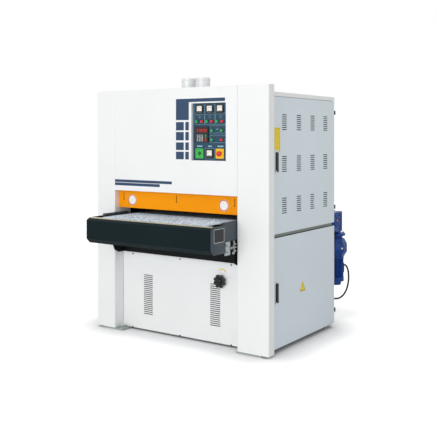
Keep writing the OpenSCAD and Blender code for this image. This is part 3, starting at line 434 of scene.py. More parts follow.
def abrasive(name):
    """Coated abrasive: sharp grains on brown cloth, with a little loading in streaks along the belt."""
    f = Finish(name)
    grain = f.cells(900)
    streak = f.noise(40, 3, 0.5, (1, 0.1, 0.1)).above(0.5, 0.3)
    base = f.mix(grain, linear(0x5E2F1C), linear(0xA4623C))
    f.set("Base Color", f.mix(streak * 0.4, base, linear(0xB08A68)))
    f.set("Roughness", grain * 0.2 + 0.7)
    return f.bump(grain, 0.0003).material


GROOVE_WAVE = 628.0  # radians a metre, a groove every 10 mm


def grooved_rubber(name, colour):
    """Ground roller rubber: narrow grooves that wind along the roller, X being its axis, with painted shade
    that darkens the grooves.
    """
    f = Finish(name)
    x = f.axes()[0]
    tone = np.array(linear(colour)[:3])
    wave = (x * GROOVE_WAVE + f.noise(3, 1) * 0.6).math("SINE")
    groove = wave.above(0.75, 0.2)
    # Painted shade: the grooves darker than the rubber between them
    f.set("Base Color", f.mix(groove, shade(tone, 1), shade(tone, 0.35)))
    f.set("Roughness", f.noise(60, 3) * 0.2 + 0.5)
    return f.bump(1 - groove, 0.0012).material


THREAD_WAVE = 1047.0  # radians a metre, a crest every 6 mm


def threaded(name):
    """Screw: thread crests round the upright axis, darker in the roots."""
    f = Finish(name, Metallic=1.0)
    crest = (f.axes()[2] * THREAD_WAVE).math("SINE") * 0.5 + 0.5
    f.set("Base Color", f.mix(crest, linear(0x55585A), linear(0xC4C8CA)))
    f.set("Roughness", f.noise(200, 2) * 0.2 + 0.25)
    return f.bump(crest, 0.002).material


TERMINALS = 119.6  # moulded parts a metre along the panel
PARTS_X = SWITCHGEAR_X + 0.0168  # where the moulded parts stand out from the plate


def contactor_panel(name):
    """Galvanised plate behind, grey and cream moulded parts in front of it, told apart by X."""
    f = Finish(name)
    x, y = f.axes()[:2]
    front = x.above(PARTS_X, 0.0004)
    band = (y * TERMINALS).math("FRACT").above(0.5, 0.02)
    moulded = f.mix(band, linear(0x3B4145), linear(0xD8D6CA))
    f.set("Base Color", f.mix(front, linear(0xC6CBCD), moulded))
    f.set("Metallic", (1 - front) * 0.8)
    f.set("Roughness", f.noise(60, 3) * 0.2 + 0.35)
    return f.bump(f.noise(240, 2), 0.00006).material


def film(name, colour, rough=0.42, shift=0.06):
    """Printed film: an even ink with faint screen texture."""
    f = Finish(name)
    tone = np.array(linear(colour)[:3])
    f.set("Base Color", f.mix(f.noise(30, 3).above(0.4, 0.3), shade(tone, 1 - shift), shade(tone, 1 + shift)))
    f.set("Roughness", f.noise(150, 2) * 0.1 + (rough - 0.05))
    return f.bump(f.cells(1500), 0.00001).material


COAT = {"rough": 0.42, "shift": 0.02}
FINISHES = {
    "white_paint": paint("white_powder_coat", 0xF1F2F2, **COAT),
    "grey_paint": paint("frame_grey_paint", 0x9DA8A1, rough=0.45),
    "blue_paint": enamel("blue_gearbox_enamel", 0x0A4496),
    "motor_blue": enamel("blue_motor_enamel", 0x1D4F8F, rough=0.3),
    "yellow_paint": paint("orange_guard_paint", 0xFF9D02, rough=0.42, shift=0.06, shine=0.12),
    "dark_paint": paint("dark_green_cover_paint", 0x101F23, rough=0.45, shift=0.1, shine=0.08),
    "dark_grey_paint": paint("slate_guard_paint", 0x465159, rough=0.45, shine=0.25),
    "black_steel": paint("black_table_paint", 0x0D1011, rough=0.5, shift=0.15, shine=0.15),
    "head_paint": paint("head_frame_paint", 0x56616A, rough=0.45),
    "galvanised": galvanised("galvanised_sheet"),
    "machined_steel": metal("turned_steel", 0xB4B8BB, 0.3, (1, 0.05, 0.05), 400),
    "cast_iron": metal("machined_cast_iron", 0x777C80, 0.45, (1, 1, 1), 260, 0.0001),
    "roller_rubber": grooved_rubber("grooved_roller_rubber", 0x2E3033),
    "belt_rubber": feed_belt_rubber("rough_top_belt"),
    "drive_belt_rubber": rubber("v_belt_rubber", 0x1C1D1F),
    "abrasive": abrasive("brown_abrasive"),
    "graphite": rubber("graphite_cloth", 0x3E3531, 0.6),
    "panel_film": film("control_plate_film", 0x0F3D54),
    "black_plastic": plastic("black_moulding", 0x111315, 0.42),
    "black_gloss": plastic("black_gloss_moulding", 0x0D0F10, 0.22),
    # The green and red mouldings glow a little: painted light, as the buttons, keys and mushroom made of them
    # are no lamps
    "green_plastic": plastic("green_moulding", 0x12A046, 0.3, glow=0.25),
    "dark_green_plastic": plastic("dark_green_button", 0x0E6A2C, 0.25),
    "red_plastic": plastic("red_moulding", 0xDA1622, 0.3, glow=0.2),
    "cable_rubber": rubber("cable_sheath", 0x14201F, 0.7, 1200),
}
livery_blue = film("blue_livery_film", 0x1C3E60, 0.5)
dial_white = film("meter_dial", 0xF4F3EC, 0.5, 0.02)
ink_black = film("black_ink", 0x14171A, 0.5)
pale_line = film("pale_plate_line", 0x8FC4D8, 0.45)
sign_yellow = film("yellow_sign_film", 0xF0D210, 0.45)
sign_white = film("white_sign_film", 0xF6F5F0, 0.4, 0.02)
sign_red = film("red_sign_film", 0xC8302C, 0.4)
plate_green = plastic("green_switch_plate", 0x35B548, 0.35)
plate_yellow = plastic("yellow_switch_plate", 0xF8C21A, 0.35)
display_red = plastic("lit_red_segment", 0xC8222A, 0.4, glow=0.8)
display_glass = plastic("dark_red_window", 0x3A0A0E, 0.12)
wheel_white = plastic("pale_thumbwheel", 0xC9CDD6, 0.4)
zinc = metal("zinc_plated_steel", 0xC2C6C4, 0.3, scale=300)
strip_metal = metal("brushed_strip", 0xC9C4AE, 0.38, (0.04, 1, 1), 300)
collar_steel = metal("smoked_collar", 0x4A4F52, 0.4, scale=900, depth=0.00001)
# The terminal box's dark navy is painted shade, for the shadowed side of the box
terminal_box_shade_blue = paint("terminal_box_painted_shade", 0x0B1E42, rough=0.5, shine=0.15)
bronze = metal("bronze_shaft_end", 0xB08A5C, 0.4, scale=300)

# The skin is the coated outer sheet: what lies behind it is painted black as shade, so that the vent slots
# look dark; behind the hinge line the black is that of the hinge fitting

SKIN_X = SIDE_FACE - 0.0006
LEFT_SKIN_X = 0.0005 - SIDE_FACE
FRONT_SKIN_Y = LOWER_FACE + 0.0005
HINGE_Y = REAR_FACE - 0.002
RIM_Z = LOWER_TOP - 0.003
grey_door = paint("grey_doors_painted_shade_inside", 0xDDE8EF, **COAT,
                  inner_shade_and_hinge=lambda x, y, z: 1 - x.above(SKIN_X, 0.0001) + y.above(HINGE_Y, 0.0002))
white_door = paint("white_door_painted_shade_inside", 0xF1F2F2, **COAT,
                   inner_shade_and_hinge=lambda x, y, z: x.above(LEFT_SKIN_X, 0.0001) + y.above(HINGE_Y, 0.0002))
white_panel = paint("front_panel_painted_shade_inside", 0xF1F2F2, **COAT,
                    inner_shade_and_hinge=lambda x, y, z: y.above(FRONT_SKIN_Y, 0.0001) * (1 - z.above(RIM_Z, 0.0002)))
OWN_FINISHES = {
    "lift_screws": threaded("lead_screw_thread"),
    "electrical_panel": contactor_panel("switchgear_plate"),
    "right_upper_door": grey_door,
    "right_lower_door": grey_door,
    "left_upper_door": white_door,
    "lower_front_panel": white_panel,
    "door_hinges": paint("black_hinge_paint", 0x0A0B0B, rough=0.6, shine=0.1),
}
for row in SUBPARTS:
    node = frame["nodes"][row["node"]]
    finish = OWN_FINISHES.get(row["node"], FINISHES[row["material_slot"]])
    for material_slot in node.material_slots:
        material_slot.material = finish
    if not node.material_slots:
        node.data.materials.append(finish)

# The feed motor's cable: a smooth run from its gland to the gland in the rear panel

CABLE_D = 0.016
CABLE_POINTS = np.array([
    [634, 1150, 424], [634, 1190, 418], [635, 1232, 386], [636, 1256, 328], [637, 1252, 255],
    [638, 1205, 185], [640, 1120, 145], [641, 1026, 137], [643, 930, 150], [646, 800, 147],
    [648, 690, 122], [648, 587, 110]]) / 1000


def smooth_run(points, steps):
    """Cubic through every point whose tangent at a point is half the step between its two neighbours."""
    p = np.vstack([points[:1], points, points[-1:]])
    t = (np.arange(steps) / steps)[None, :, None]
    a, b, c, d = (p[k:len(p) - 3 + k, None] for k in range(4))
    run = 0.5 * (2 * b + (c - a) * t + (2 * a - 5 * b + 4 * c - d) * t**2 + (3 * b - a - 3 * c + d) * t**3)
    return np.vstack([run.reshape(-1, 3), points[-1:]])


cable_run = smooth_run(CABLE_POINTS, 6)
cable = piece("feed_motor_cable", swept(cable_run, CABLE_D / 2, 16), None, "cable_rubber",
              replaces=["motor_cable"])
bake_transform(cable)

# Livery on the upper front panel: each film is given by its left, right, low and high edge

FILM_T = 0.0004
STRIPES = [(-0.648, -0.042, 1.238, 1.260), (-0.648, -0.165, 1.211, 1.234)]
SQUARE_COLUMNS = [(-0.001, 0.077), (0.092, 0.126)]
SQUARE_ROWS = [(1.665, 1.731), (1.587, 1.653), (1.5105, 1.571), (1.438, 1.498)]
TALL_BLOCK = (-0.001, 0.126, 1.746, 1.912)
TOP_BAR = (0.1265, 0.467, 1.885, 1.912)


def patch(x0, x1, z0, z1):
    """A film cut to a rectangle on the upper front panel."""
    at = [(x0 + x1) / 2, PANEL_FACE, (z0 + z1) / 2]
    return plate(at, "front", x1 - x0, z1 - z0, FILM_T, r=0.001, edge=FILM_T / 4)


stripes = [patch(*edges) for edges in STRIPES]
squares = [patch(*across, *upward) for across in SQUARE_COLUMNS for upward in SQUARE_ROWS]
squares += [patch(*TALL_BLOCK), patch(*TOP_BAR)]
piece("livery_stripes", join(*stripes), "machine", "panel_film", livery_blue)
piece("livery_squares", join(*squares), "machine", "panel_film", livery_blue)

# Round signs on the guard: a disc and a raised ring

DISC = [(0.045, 0), (0.045, 0.0006), (0.0446, 0.0008)]
DISC_RING = [(0.0435, 0.0011), (0.0435, 0.0007), (0.0375, 0.0007), (0.0375, 0.0011)]
DISC_X = {"left": -0.500, "right": 0.421}
DISC_Z = 1.090
for side, x in DISC_X.items():
    at = [x, GUARD_FACE, DISC_Z]
    piece(f"guard_disc_{side}", turned(at, "front", DISC, 64), "machine", "white_paint", sign_white)
    ring = hoop(at, "front", circle(1, 64), DISC_RING)
    piece(f"guard_disc_rim_{side}", ring, "machine", "red_plastic", sign_red)

# Screws of the guard and of the lower panel, each as its head's radius and height

GUARD_SCREW = (0.0055, 0.003)
GUARD_SCREW_PLACES = [(-0.5949, 1.092), (-0.0375, 1.094), (0.5199, 1.092)]
PANEL_SCREW = (0.0065, 0.0035)
PANEL_SCREW_PLACES = [(x, z) for x in (-0.540, -0.042, 0.454) for z in (0.632, 0.017)]
guard_screws = [round_screw([x, GUARD_FACE, z], "front", *GUARD_SCREW) for x, z in GUARD_SCREW_PLACES]
piece("guard_screws", join(*guard_screws), "machine", "black_plastic", FINISHES["black_gloss"])
panel_screws = [round_screw([x, LOWER_FACE, z], "front", *PANEL_SCREW) for x, z in PANEL_SCREW_PLACES]
piece("lower_panel_screws", join(*panel_screws), "machine", "black_plastic", FINISHES["black_gloss"])

# Black plates behind the louvres, painted shade that makes the vent slots dark, counted from the lower left
# corner of a door or panel seen from outside

SHADE_PLATE_DEPTH = 0.0085
SHADE_PLATE_T = 0.0005
DOOR_SHADE_PLATE = (0.078, 0.127)
DOOR_VENT_COLUMNS = [(0.147 + 0.219 * k) * (DOOR_Y1 - DOOR_Y0) + 0.035 for k in range(4)]
DOOR_VENT_ROWS = [share * (DOOR_HIGH.z - DOOR_LOW.z) + 0.0595 for share in (0.142, 0.449, 0.757)]
PANEL_SHADE_PLATE = (0.103, 0.335)
PANEL_VENT_COLUMNS = [share * (OPEN_X1 - OPEN_X0) for share in (0.226, 0.778)]
PANEL_VENT_FOOT, PANEL_VENT_ROW = 0.143, 0.1635
THIN = {"r": 0.001, "edge": 0.0001}


def vent_shade_plates(corner, facing, columns, rows, size):
    """A thin dark plate behind each vent, painted shade in its slot, sunk by the plate depth from the face
    that the corner is on.
    """
    middles = [placed(corner, facing, [u, v, -SHADE_PLATE_DEPTH]) for u in columns for v in rows]
    return join(*(plate(middle, facing, *size, SHADE_PLATE_T, **THIN) for middle in middles))


for side, x, y in (("right", SIDE_FACE, DOOR_Y0), ("left", -SIDE_FACE, DOOR_Y1)):
    shade_plates = vent_shade_plates([x, y, DOOR_LOW.z], side, DOOR_VENT_COLUMNS, DOOR_VENT_ROWS, DOOR_SHADE_PLATE)
    piece(f"{side}_vent_shade_plates", shade_plates, f"{side}_upper_door", "black_plastic")
shade_plates = vent_shade_plates([OPEN_X0, LOWER_FACE, PANEL_VENT_FOOT], "front", PANEL_VENT_COLUMNS, [PANEL_VENT_ROW],
                       PANEL_SHADE_PLATE)
piece("front_vent_shade_plates", shade_plates, "machine", "black_plastic")

# Signs by the knob and on the right-hand doors

ARROW_FROM, ARROW_TO, ARROW_TIP = 150, 45, 20
ARROW_AT = [0.372, LOWER_FACE, 0.560]
ARROW_R, ARROW_W = 0.033, 0.008
TAG_AT = [SIDE_FACE, -0.4035, 1.592]
TAG_W, TAG_H, TAG_T = 0.087, 0.182, 0.0012
TAG_MARGIN, TAG_LINE, TAG_LINE_T = 0.008, 0.0012, 0.0002
TRIANGLE_AT = [SIDE_FACE, -0.005, 0.439]
TRIANGLE = np.array([[-0.0475, -0.039], [0.0475, -0.039], [0, 0.039]])
TRIANGLE_PLATE = [(1, 0), (1, 0.0006), (0.985, 0.0008)]
TRIANGLE_LINE = [(0.95, 0.0011), (0.95, 0.0007), (0.87, 0.0007), (0.87, 0.0011)]


def polar(r, degrees):
    """Points (r cos t, r sin t) at angles t in degrees."""
    t = np.radians(degrees)
    return np.stack([r * np.cos(t), r * np.sin(t)], -1)


def curved_arrow(r, width):
    """Outline of an arc band of radius r and of its pointed head, 2.6 widths across at its foot."""
    half, wing = width / 2, width * 1.3
    sweep = np.linspace(ARROW_FROM, ARROW_TO, 18)
    head = [polar(r + wing, ARROW_TO), polar(r, ARROW_TIP), polar(r - wing, ARROW_TO)]
    outline = np.concatenate([polar(r + half, sweep), head, polar(r - half, sweep)[::-1]])
    return outline[::-1]


arrow = relief(ARROW_AT, "front", curved_arrow(ARROW_R, ARROW_W), [(1, 0), (1, FILM_T)])
piece("knob_arrow", arrow, "machine", "yellow_paint", sign_yellow)
piece("side_tag", plate(TAG_AT, "right", TAG_W, TAG_H, TAG_T, r=0.003), "right_upper_door", "yellow_paint",
      sign_yellow)
tag_line = outlined(placed(TAG_AT, "right", [0, 0, TAG_T]), "right", TAG_W - TAG_MARGIN, TAG_H - TAG_MARGIN,
                    TAG_LINE, TAG_LINE_T)
piece("side_tag_lines", tag_line, "right_upper_door", "black_plastic", ink_black)
piece("cabinet_triangle", relief(TRIANGLE_AT, "right", TRIANGLE, TRIANGLE_PLATE), "right_lower_door",
      "yellow_paint", sign_yellow)
piece("cabinet_triangle_line", hoop(TRIANGLE_AT, "right", TRIANGLE, TRIANGLE_LINE), "right_lower_door",
      "black_plastic", ink_black)

# Control plate: printed lines and captions, placed by shares of its width and height

PLATE_X0, PLATE_Z0, PLATE_W, PLATE_H = 0.150, 1.432, 0.324, 0.443
PRINT_LINE = 0.0013
HEAD_COLUMNS = [(0.035, 0.33), (0.337, 0.635), (0.642, 0.955)]
METER_FRAME, BUTTON_FRAME = (0.826, 0.972), (0.630, 0.806)
LAMP_RING_ROW, LAMP_RING_D, LAMP_RING_R = 0.762, 0.017, 0.0084
WIDE_COLUMN, WIDE_FRAMES = (0.4945, 0.9495), [(0.478, 0.612), (0.312, 0.442)]
FEED_FRAME = (0.355, 0.625, 0.0245, 0.2115)
CAPTIONS = [(0.19, 0.249, 0.050, 0.009), (0.49, 0.249, 0.034, 0.009), (0.79, 0.249, 0.056, 0.009),
            (0.70, 0.545, 0.018, 0.004)]
SWITCH_ROW = 0.122
SWITCH_PLATE, SWITCH_PLATE_T, SWITCH_PLATE_LIFT = 0.0765, 0.0015, 0.003


def on_plate(sx, sz, lift=0.0):
    """The point at shares sx and sz of the control plate's width and height."""
    return np.array([PLATE_X0 + sx * PLATE_W, PLATE_FACE - lift, PLATE_Z0 + sz * PLATE_H])


def print_frame(s0, s1, z0, z1):
    """A printed line round a field of the plate."""
    middle = on_plate((s0 + s1) / 2, (z0 + z1) / 2)
    return outlined(middle, "front", (s1 - s0) * PLATE_W, (z1 - z0) * PLATE_H, PRINT_LINE)


lines = []
for s0, s1 in HEAD_COLUMNS:
    lamp_ring_at = on_plate((s0 + s1) / 2, LAMP_RING_ROW)
    lines += [print_frame(s0, s1, *METER_FRAME), print_frame(s0, s1, *BUTTON_FRAME),
              outlined(lamp_ring_at, "front", LAMP_RING_D, LAMP_RING_D, PRINT_LINE, r=LAMP_RING_R)]
lines += [print_frame(*WIDE_COLUMN, *rows) for rows in WIDE_FRAMES]
lines.append(print_frame(*FEED_FRAME))
lines += [plate(on_plate(sx, sz), "front", w, h, FILM_T, **THIN) for sx, sz, w, h in CAPTIONS]
piece("control_plate_lines", join(*lines), "machine", "panel_film", pale_line)
for name, sx, slot, finish in (("power_plate_cover", 0.19, "green_plastic", plate_green),
                               ("emergency_plate_cover", 0.78, "yellow_paint", plate_yellow)):
    at = on_plate(sx, SWITCH_ROW, SWITCH_PLATE_LIFT)
    cover = plate(at, "front", SWITCH_PLATE, SWITCH_PLATE, SWITCH_PLATE_T, r=0.005)
    piece(name, cover, "machine", slot, finish)

# Meters: a white face, a printed scale round a pivot below its middle, and a red needle at the scale's start

METERS = [(0.19, 0.896), (0.485, 0.896), (0.78, 0.896), (0.485, SWITCH_ROW)]
METER_LIFT = 0.0046
FACE_W, FACE_T = 0.0495, 0.0006
PIVOT = np.array([0, -0.017])
SCALE_FROM, SCALE_TO = 135, 45
SCALE_BAND = (0.0285, 0.0293)
TICK = (0.029, 0.033, 0.0004, 0.0004)
TICKS = 11
NEEDLE = (0.004, 0.030, 0.0004, 0.00016)
NEEDLE_START, NEEDLE_STEP = 128, 4
METER_FOOT_DROP, METER_FOOT = 0.0195, (0.044, 0.0085, 0.0008)
INK_STEPS = [(1, FACE_T), (1, 0.0009)]
NEEDLE_STEPS = [(1, 0.0012), (1, 0.0016)]


def spoke(degrees, r0, r1, half0, half1):
    """A bar that points away from the pivot, from r0 to r1, half0 and half1 wide to each side there."""
    along, across = polar(1, degrees), polar(1, degrees + 90)
    return PIVOT + [along * r0 - across * half0, along * r1 - across * half1,
                    along * r1 + across * half1, along * r0 + across * half0]


def meter_scale(at):
    """An arc band with ticks on its outside, and a bar that covers the pivot."""
    sweep = np.linspace(SCALE_FROM, SCALE_TO, 16)
    inner, outer = (polar(r, sweep) for r in SCALE_BAND)
    marks = [relief(at, "front", np.concatenate([inner, outer[::-1]]) + PIVOT, INK_STEPS)]
    for degrees in np.linspace(SCALE_FROM, SCALE_TO, TICKS):
        marks.append(relief(at, "front", spoke(degrees, *TICK), INK_STEPS))
    foot = placed(at, "front", [0, -METER_FOOT_DROP, FACE_T])
    return join(*marks, plate(foot, "front", *METER_FOOT, r=0.001, edge=0.0002))


meter_places = [on_plate(sx, sz, METER_LIFT) for sx, sz in METERS]
faces = [plate(at, "front", FACE_W, FACE_W, FACE_T, r=0.003, edge=0.0001) for at in meter_places]
needles = [relief(at, "front", spoke(NEEDLE_START - NEEDLE_STEP * k, *NEEDLE), NEEDLE_STEPS)
           for k, at in enumerate(meter_places)]
piece("meter_faces", join(*faces), "machine", "white_paint", dial_white)
piece("meter_scales", join(*(meter_scale(at) for at in meter_places)), "machine", "black_plastic", ink_black)
piece("meter_needles", join(*needles), "machine", "red_plastic", sign_red)

# Display: bezel, window and lit digits, each made of up to seven bars

DISPLAY = on_plate(0.27, 0.454, 0.008)
BEZEL_W, BEZEL_H, BEZEL_LINE, BEZEL_T = 0.118, 0.120, 0.004, 0.0012
DIVIDER = (0.1, 0.002, 0.0008)
READING = "018250"
WINDOW_Z, WINDOW_W, WINDOW_H, WINDOW_T = 0.031, 0.104, 0.036, 0.001
DIGIT_X0, DIGIT_PITCH, DIGIT_SIZE = -0.041, 0.0164, 0.0095
BAR_LENGTH, BAR_W, BAR_T = 0.0075, 0.0018, 0.0004
# Each bar's place across and up, then 1 for a level bar or an upright one
BARS = {"a": (0, 1, 1, 0), "b": (0.5, 0.5, 0, 1), "c": (0.5, -0.5, 0, 1), "d": (0, -1, 1, 0),
        "e": (-0.5, -0.5, 0, 1), "f": (-0.5, 0.5, 0, 1), "g": (0, 0, 1, 0)}
DIGITS = {"0": "abcdef", "1": "bc", "2": "abged", "5": "afgcd", "8": "abcdefg"}


def on_display(x, z, lift=0.0):
    """The point x across and z up from the display's middle."""
    return placed(DISPLAY, "front", [x, z, lift])


def digit_bars(x, digit):
    """The bars that light up for a digit whose middle is x across."""
    for name in DIGITS[digit]:
        u, v, level, upright = BARS[name]
        at = on_display(x + u * DIGIT_SIZE, WINDOW_Z + v * DIGIT_SIZE, WINDOW_T)
        yield plate(at, "front", BAR_LENGTH * level + BAR_W, BAR_LENGTH * upright + BAR_W, BAR_T,
                    r=0.0008, edge=0.0001)


bezel = outlined(DISPLAY, "front", BEZEL_W, BEZEL_H, BEZEL_LINE, BEZEL_T)
divider = plate(DISPLAY, "front", *DIVIDER, r=0.0005, edge=0.0002)
piece("display_bezel", join(bezel, divider), "machine", "black_plastic", FINISHES["black_gloss"])
window = plate(on_display(0, WINDOW_Z), "front", WINDOW_W, WINDOW_H, WINDOW_T, r=0.002, edge=0.0002)
piece("display_window", window, "machine", "red_plastic", display_glass)
bars = [bar for k, digit in enumerate(READING) for bar in digit_bars(DIGIT_X0 + k * DIGIT_PITCH, digit)]
piece("display_digits", join(*bars), "machine", "red_plastic", display_red)

# Thumbwheels under the window

WHEEL_X, WHEEL_Z, WHEEL_RIBS, WHEEL_SIZE = (-0.040, -0.018, 0.004), -0.027, 9, (0.0085, 0.050)
STEP_WHEEL_X, STEP_WHEEL_RIBS, STEP_WHEEL_SIZE = 0.036, 4, (0.0095, 0.021)
WHEEL_FRAME, WHEEL_FRAME_LINE, WHEEL_FRAME_T = 0.004, 0.0012, 0.0008
WHEEL_LOW, WHEEL_BOW, RIB_SHARE = 0.0005, 0.0028, 0.62


def thumbwheel(at, ribs, w, h):
    """A slot frame and a wheel's ribs, bowed out of it: at share v from its middle by sqrt(1 - 3.2 v v)."""
    frame_w, frame_h = w + WHEEL_FRAME, h + WHEEL_FRAME
    parts = [outlined(at, "front", frame_w, frame_h, WHEEL_FRAME_LINE, WHEEL_FRAME_T, r=0.001)]
    for k in range(ribs):
        v = (k + 0.5) / ribs - 0.5
        rise = WHEEL_LOW + WHEEL_BOW * math.sqrt(1 - 3.2 * v * v)
        rib = placed(at, "front", [0, v * h, 0])
        parts.append(plate(rib, "front", w, h / ribs * RIB_SHARE, rise, r=0.0005, edge=0.0002))
    return join(*parts)


wheels = [thumbwheel(on_display(x, WHEEL_Z), WHEEL_RIBS, *WHEEL_SIZE) for x in WHEEL_X]
piece("thumbwheels", join(*wheels), "machine", "white_paint", wheel_white)
for name, z, slot in (("thumbwheel_up", -0.013, "green_plastic"), ("thumbwheel_down", -0.041, "red_plastic")):
    wheel = thumbwheel(on_display(STEP_WHEEL_X, z), STEP_WHEEL_RIBS, *STEP_WHEEL_SIZE)
    piece(name, wheel, "machine", slot)

# Round buttons with a rolled rim, each in a collar on the plate, and the emergency stop

STEM_R = 0.007
COLLAR = [(0.0108, 0.0002), (0.0108, 0.0058), (0.0118, 0.0066), (0.0136, 0.0062), (0.0143, 0.0045),
          (0.0143, 0.0002)]


def button_size(node):
    """The middle of a button's back, its radius and its length."""
    low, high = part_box(node)
    return [(low.x + high.x) / 2, high.y, (low.z + high.z) / 2], (high.x - low.x) / 2, high.y - low.y


def button_cap(back, r, length):
    """A stem, and a cap whose rim stands 1.3 mm over its hollow middle."""
    profile = [(STEM_R, 0), (STEM_R, length - 0.0092), (r, length - 0.009), (r, length - 0.0012),
               (r - 0.0005, length - 0.0003), (r - 0.0015, length), (r - 0.003, length - 0.0003),
               (r * 0.5, length - 0.0011), (r * 0.15, length - 0.0013)]
    return turned(back, "front", profile)


def mushroom(back, r, length):
    """A stem, a neck and a domed head that falls away towards its rim."""
    profile = [(STEM_R, 0), (STEM_R, 0.011), (0.0098, 0.0115), (0.0098, length - 0.0145),
               (0.0125, length - 0.0135), (r * 0.93, length - 0.0122), (r, length - 0.0102),
               (r, length - 0.0072), (r * 0.97, length - 0.0052), (r * 0.88, length - 0.0032),
               (r * 0.72, length - 0.0016), (r * 0.5, length - 0.0006), (r * 0.2, length)]
    return turned(back, "front", profile, 56)


for row in SUBPARTS:
    node = row["node"]
    if "button" in node:
        back, r, length = button_size(node)
        piece(f"{node}_cap", button_cap(back, r, length), node, row["material_slot"], replaces=[node])
        collar = hoop([back[0], PLATE_FACE, back[2]], "front", circle(1, 48), COLLAR)
        if node == "power_button":
            piece(f"{node}_collar", collar, "machine", "black_gloss")
        else:
            piece(f"{node}_collar", collar, "machine", "machined_steel", collar_steel)
piece("emergency_mushroom", mushroom(*button_size("emergency_stop")), "emergency_stop", "red_plastic",
      replaces=["emergency_stop"])

# Knob for the table height: a lobed grip on a round stem, with a hub in its middle

KNOB_LOW, KNOB_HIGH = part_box("handwheel")
KNOB_AT = [(KNOB_LOW.x + KNOB_HIGH.x) / 2, LOWER_FACE, (KNOB_LOW.z + KNOB_HIGH.z) / 2]
LOBES, LOBE_MIDDLE_R, LOBE_RISE = 8, 0.0487, 0.0053
GRIP_STEPS = [(0.30, 0.012), (0.86, 0.0125), (0.96, 0.0145), (1.0, 0.018), (1.0, 0.031), (0.97, 0.0355),
              (0.9, 0.038), (0.78, 0.0385), (0.62, 0.0372), (0.5, 0.0365)]
HUB = [(0.0235, 0.034), (0.0235, 0.0415), (0.022, 0.0445), (0.017, 0.0458), (0.009, 0.0462)]
KNOB_STEM = [(0.008, -0.036), (0.008, -0.001), (0.012, 0.0), (0.012, 0.0122)]


def lobed(n=128):
    """Radius 0.0487 + 0.0053 w, where w is -cos 8t with its sign kept and its size to the power 0.8."""
    t = 2 * np.pi * np.arange(n) / n
    wave = -np.cos(LOBES * t)
    r = LOBE_MIDDLE_R + LOBE_RISE * np.sign(wave) * np.abs(wave) ** 0.8
    return np.column_stack([r * np.cos(t), r * np.sin(t)])


knob = [relief(KNOB_AT, "front", lobed(), GRIP_STEPS), turned(KNOB_AT, "front", HUB),
        turned(KNOB_AT, "front", KNOB_STEM, 32)]
piece("height_knob", join(*knob), "handwheel", "black_gloss", replaces=["handwheel"])

# Swing handles, each worked out from its node's box

PIN_R, PIN_END = 0.0029, 0.006
PADDLE_GAP, PADDLE_RISE, PADDLE_SHORT, FACE_SUNK = 0.001, 0.004, 0.010, 0.003
BORDER_IN_W, BORDER_IN_H, BORDER_LINE, BORDER_T = 0.006, 0.018, 0.0015, 0.0012
GRIP_RIBS, GRIP_TOP, GRIP_PITCH, GRIP_IN_W, GRIP_H, GRIP_T = 3, 0.32, 0.012, 0.014, 0.003, 0.0012


def swing_handle(node, facing):
    """A paddle on a pin, with a raised border and three grip ribs."""
    low, high = np.array(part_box(node))
    deep, wide, tall = high - low
    out, inner_x = (1, low[0]) if facing == "right" else (-1, high[0])
    y = (low[1] + high[1]) / 2
    w, t = wide - 2 * PIN_END, deep - FACE_SUNK
    at = [inner_x + out * PADDLE_GAP, y, (low[2] + high[2]) / 2 + PADDLE_RISE]
    face = placed(at, facing, [0, 0, t])
    parts = [plate(at, facing, w, tall - PADDLE_SHORT, t, r=0.006, edge=0.0022),
             outlined(face, facing, w - BORDER_IN_W, tall - BORDER_IN_H, BORDER_LINE, BORDER_T)]
    for k in range(GRIP_RIBS):
        rib = placed(face, facing, [0, tall * GRIP_TOP - GRIP_PITCH * k, 0])
        parts.append(plate(rib, facing, w - GRIP_IN_W, GRIP_H, GRIP_T, r=0.001, edge=0.0004))
    pin_x, pin_z = inner_x + out * deep / 2, low[2] + PIN_END
    pin = np.linspace([pin_x, low[1], pin_z], [pin_x, high[1], pin_z], 4)
    return join(*parts, swept(pin, PIN_R, 20))


for node, facing in (("right_upper_handle", "right"), ("right_lower_handle", "right"),
                     ("left_upper_handle", "left")):
    piece(f"{node}_paddle", swing_handle(node, facing), node, "black_plastic", replaces=[node])

# Infeed cover: slate-grey plates with broken edges on its ends, whose lighter grey is painted light on the
# side-lit ends, an outlined plate and a bright strip; outlines are (y, z)

COVER_X = [corner.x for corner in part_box("infeed_cover")]
COVER_OUTLINE = np.array([[-0.7125, 0.7655], [-0.8648, 0.7655], [-0.8995, 0.8002], [-0.8995, 0.9488],
                          [-0.8650, 0.9695], [-0.7125, 0.9695]])
COVER_MIDDLE = COVER_OUTLINE.mean(0)
COVER_END = [(1, 0), (1, 0.0022), (0.985, 0.003)]
LABEL_AT = [COVER_X[1] + 0.003, -0.7985, 0.9005]
LABEL_W, LABEL_H, LABEL_T, LABEL_MARGIN = 0.133, 0.103, 0.0008, 0.004
LABEL_LINE, LABEL_LINE_T, LABEL_R = 0.0022, 0.0003, 0.008
STRIP_OUTLINE = [[-0.8765, 0.9631], [-0.8650, 0.9700], [-0.8562, 0.9700], [-0.8562, 0.9714],
                 [-0.8654, 0.9714], [-0.8773, 0.9643]]
STRIP_END_GAP = 0.004

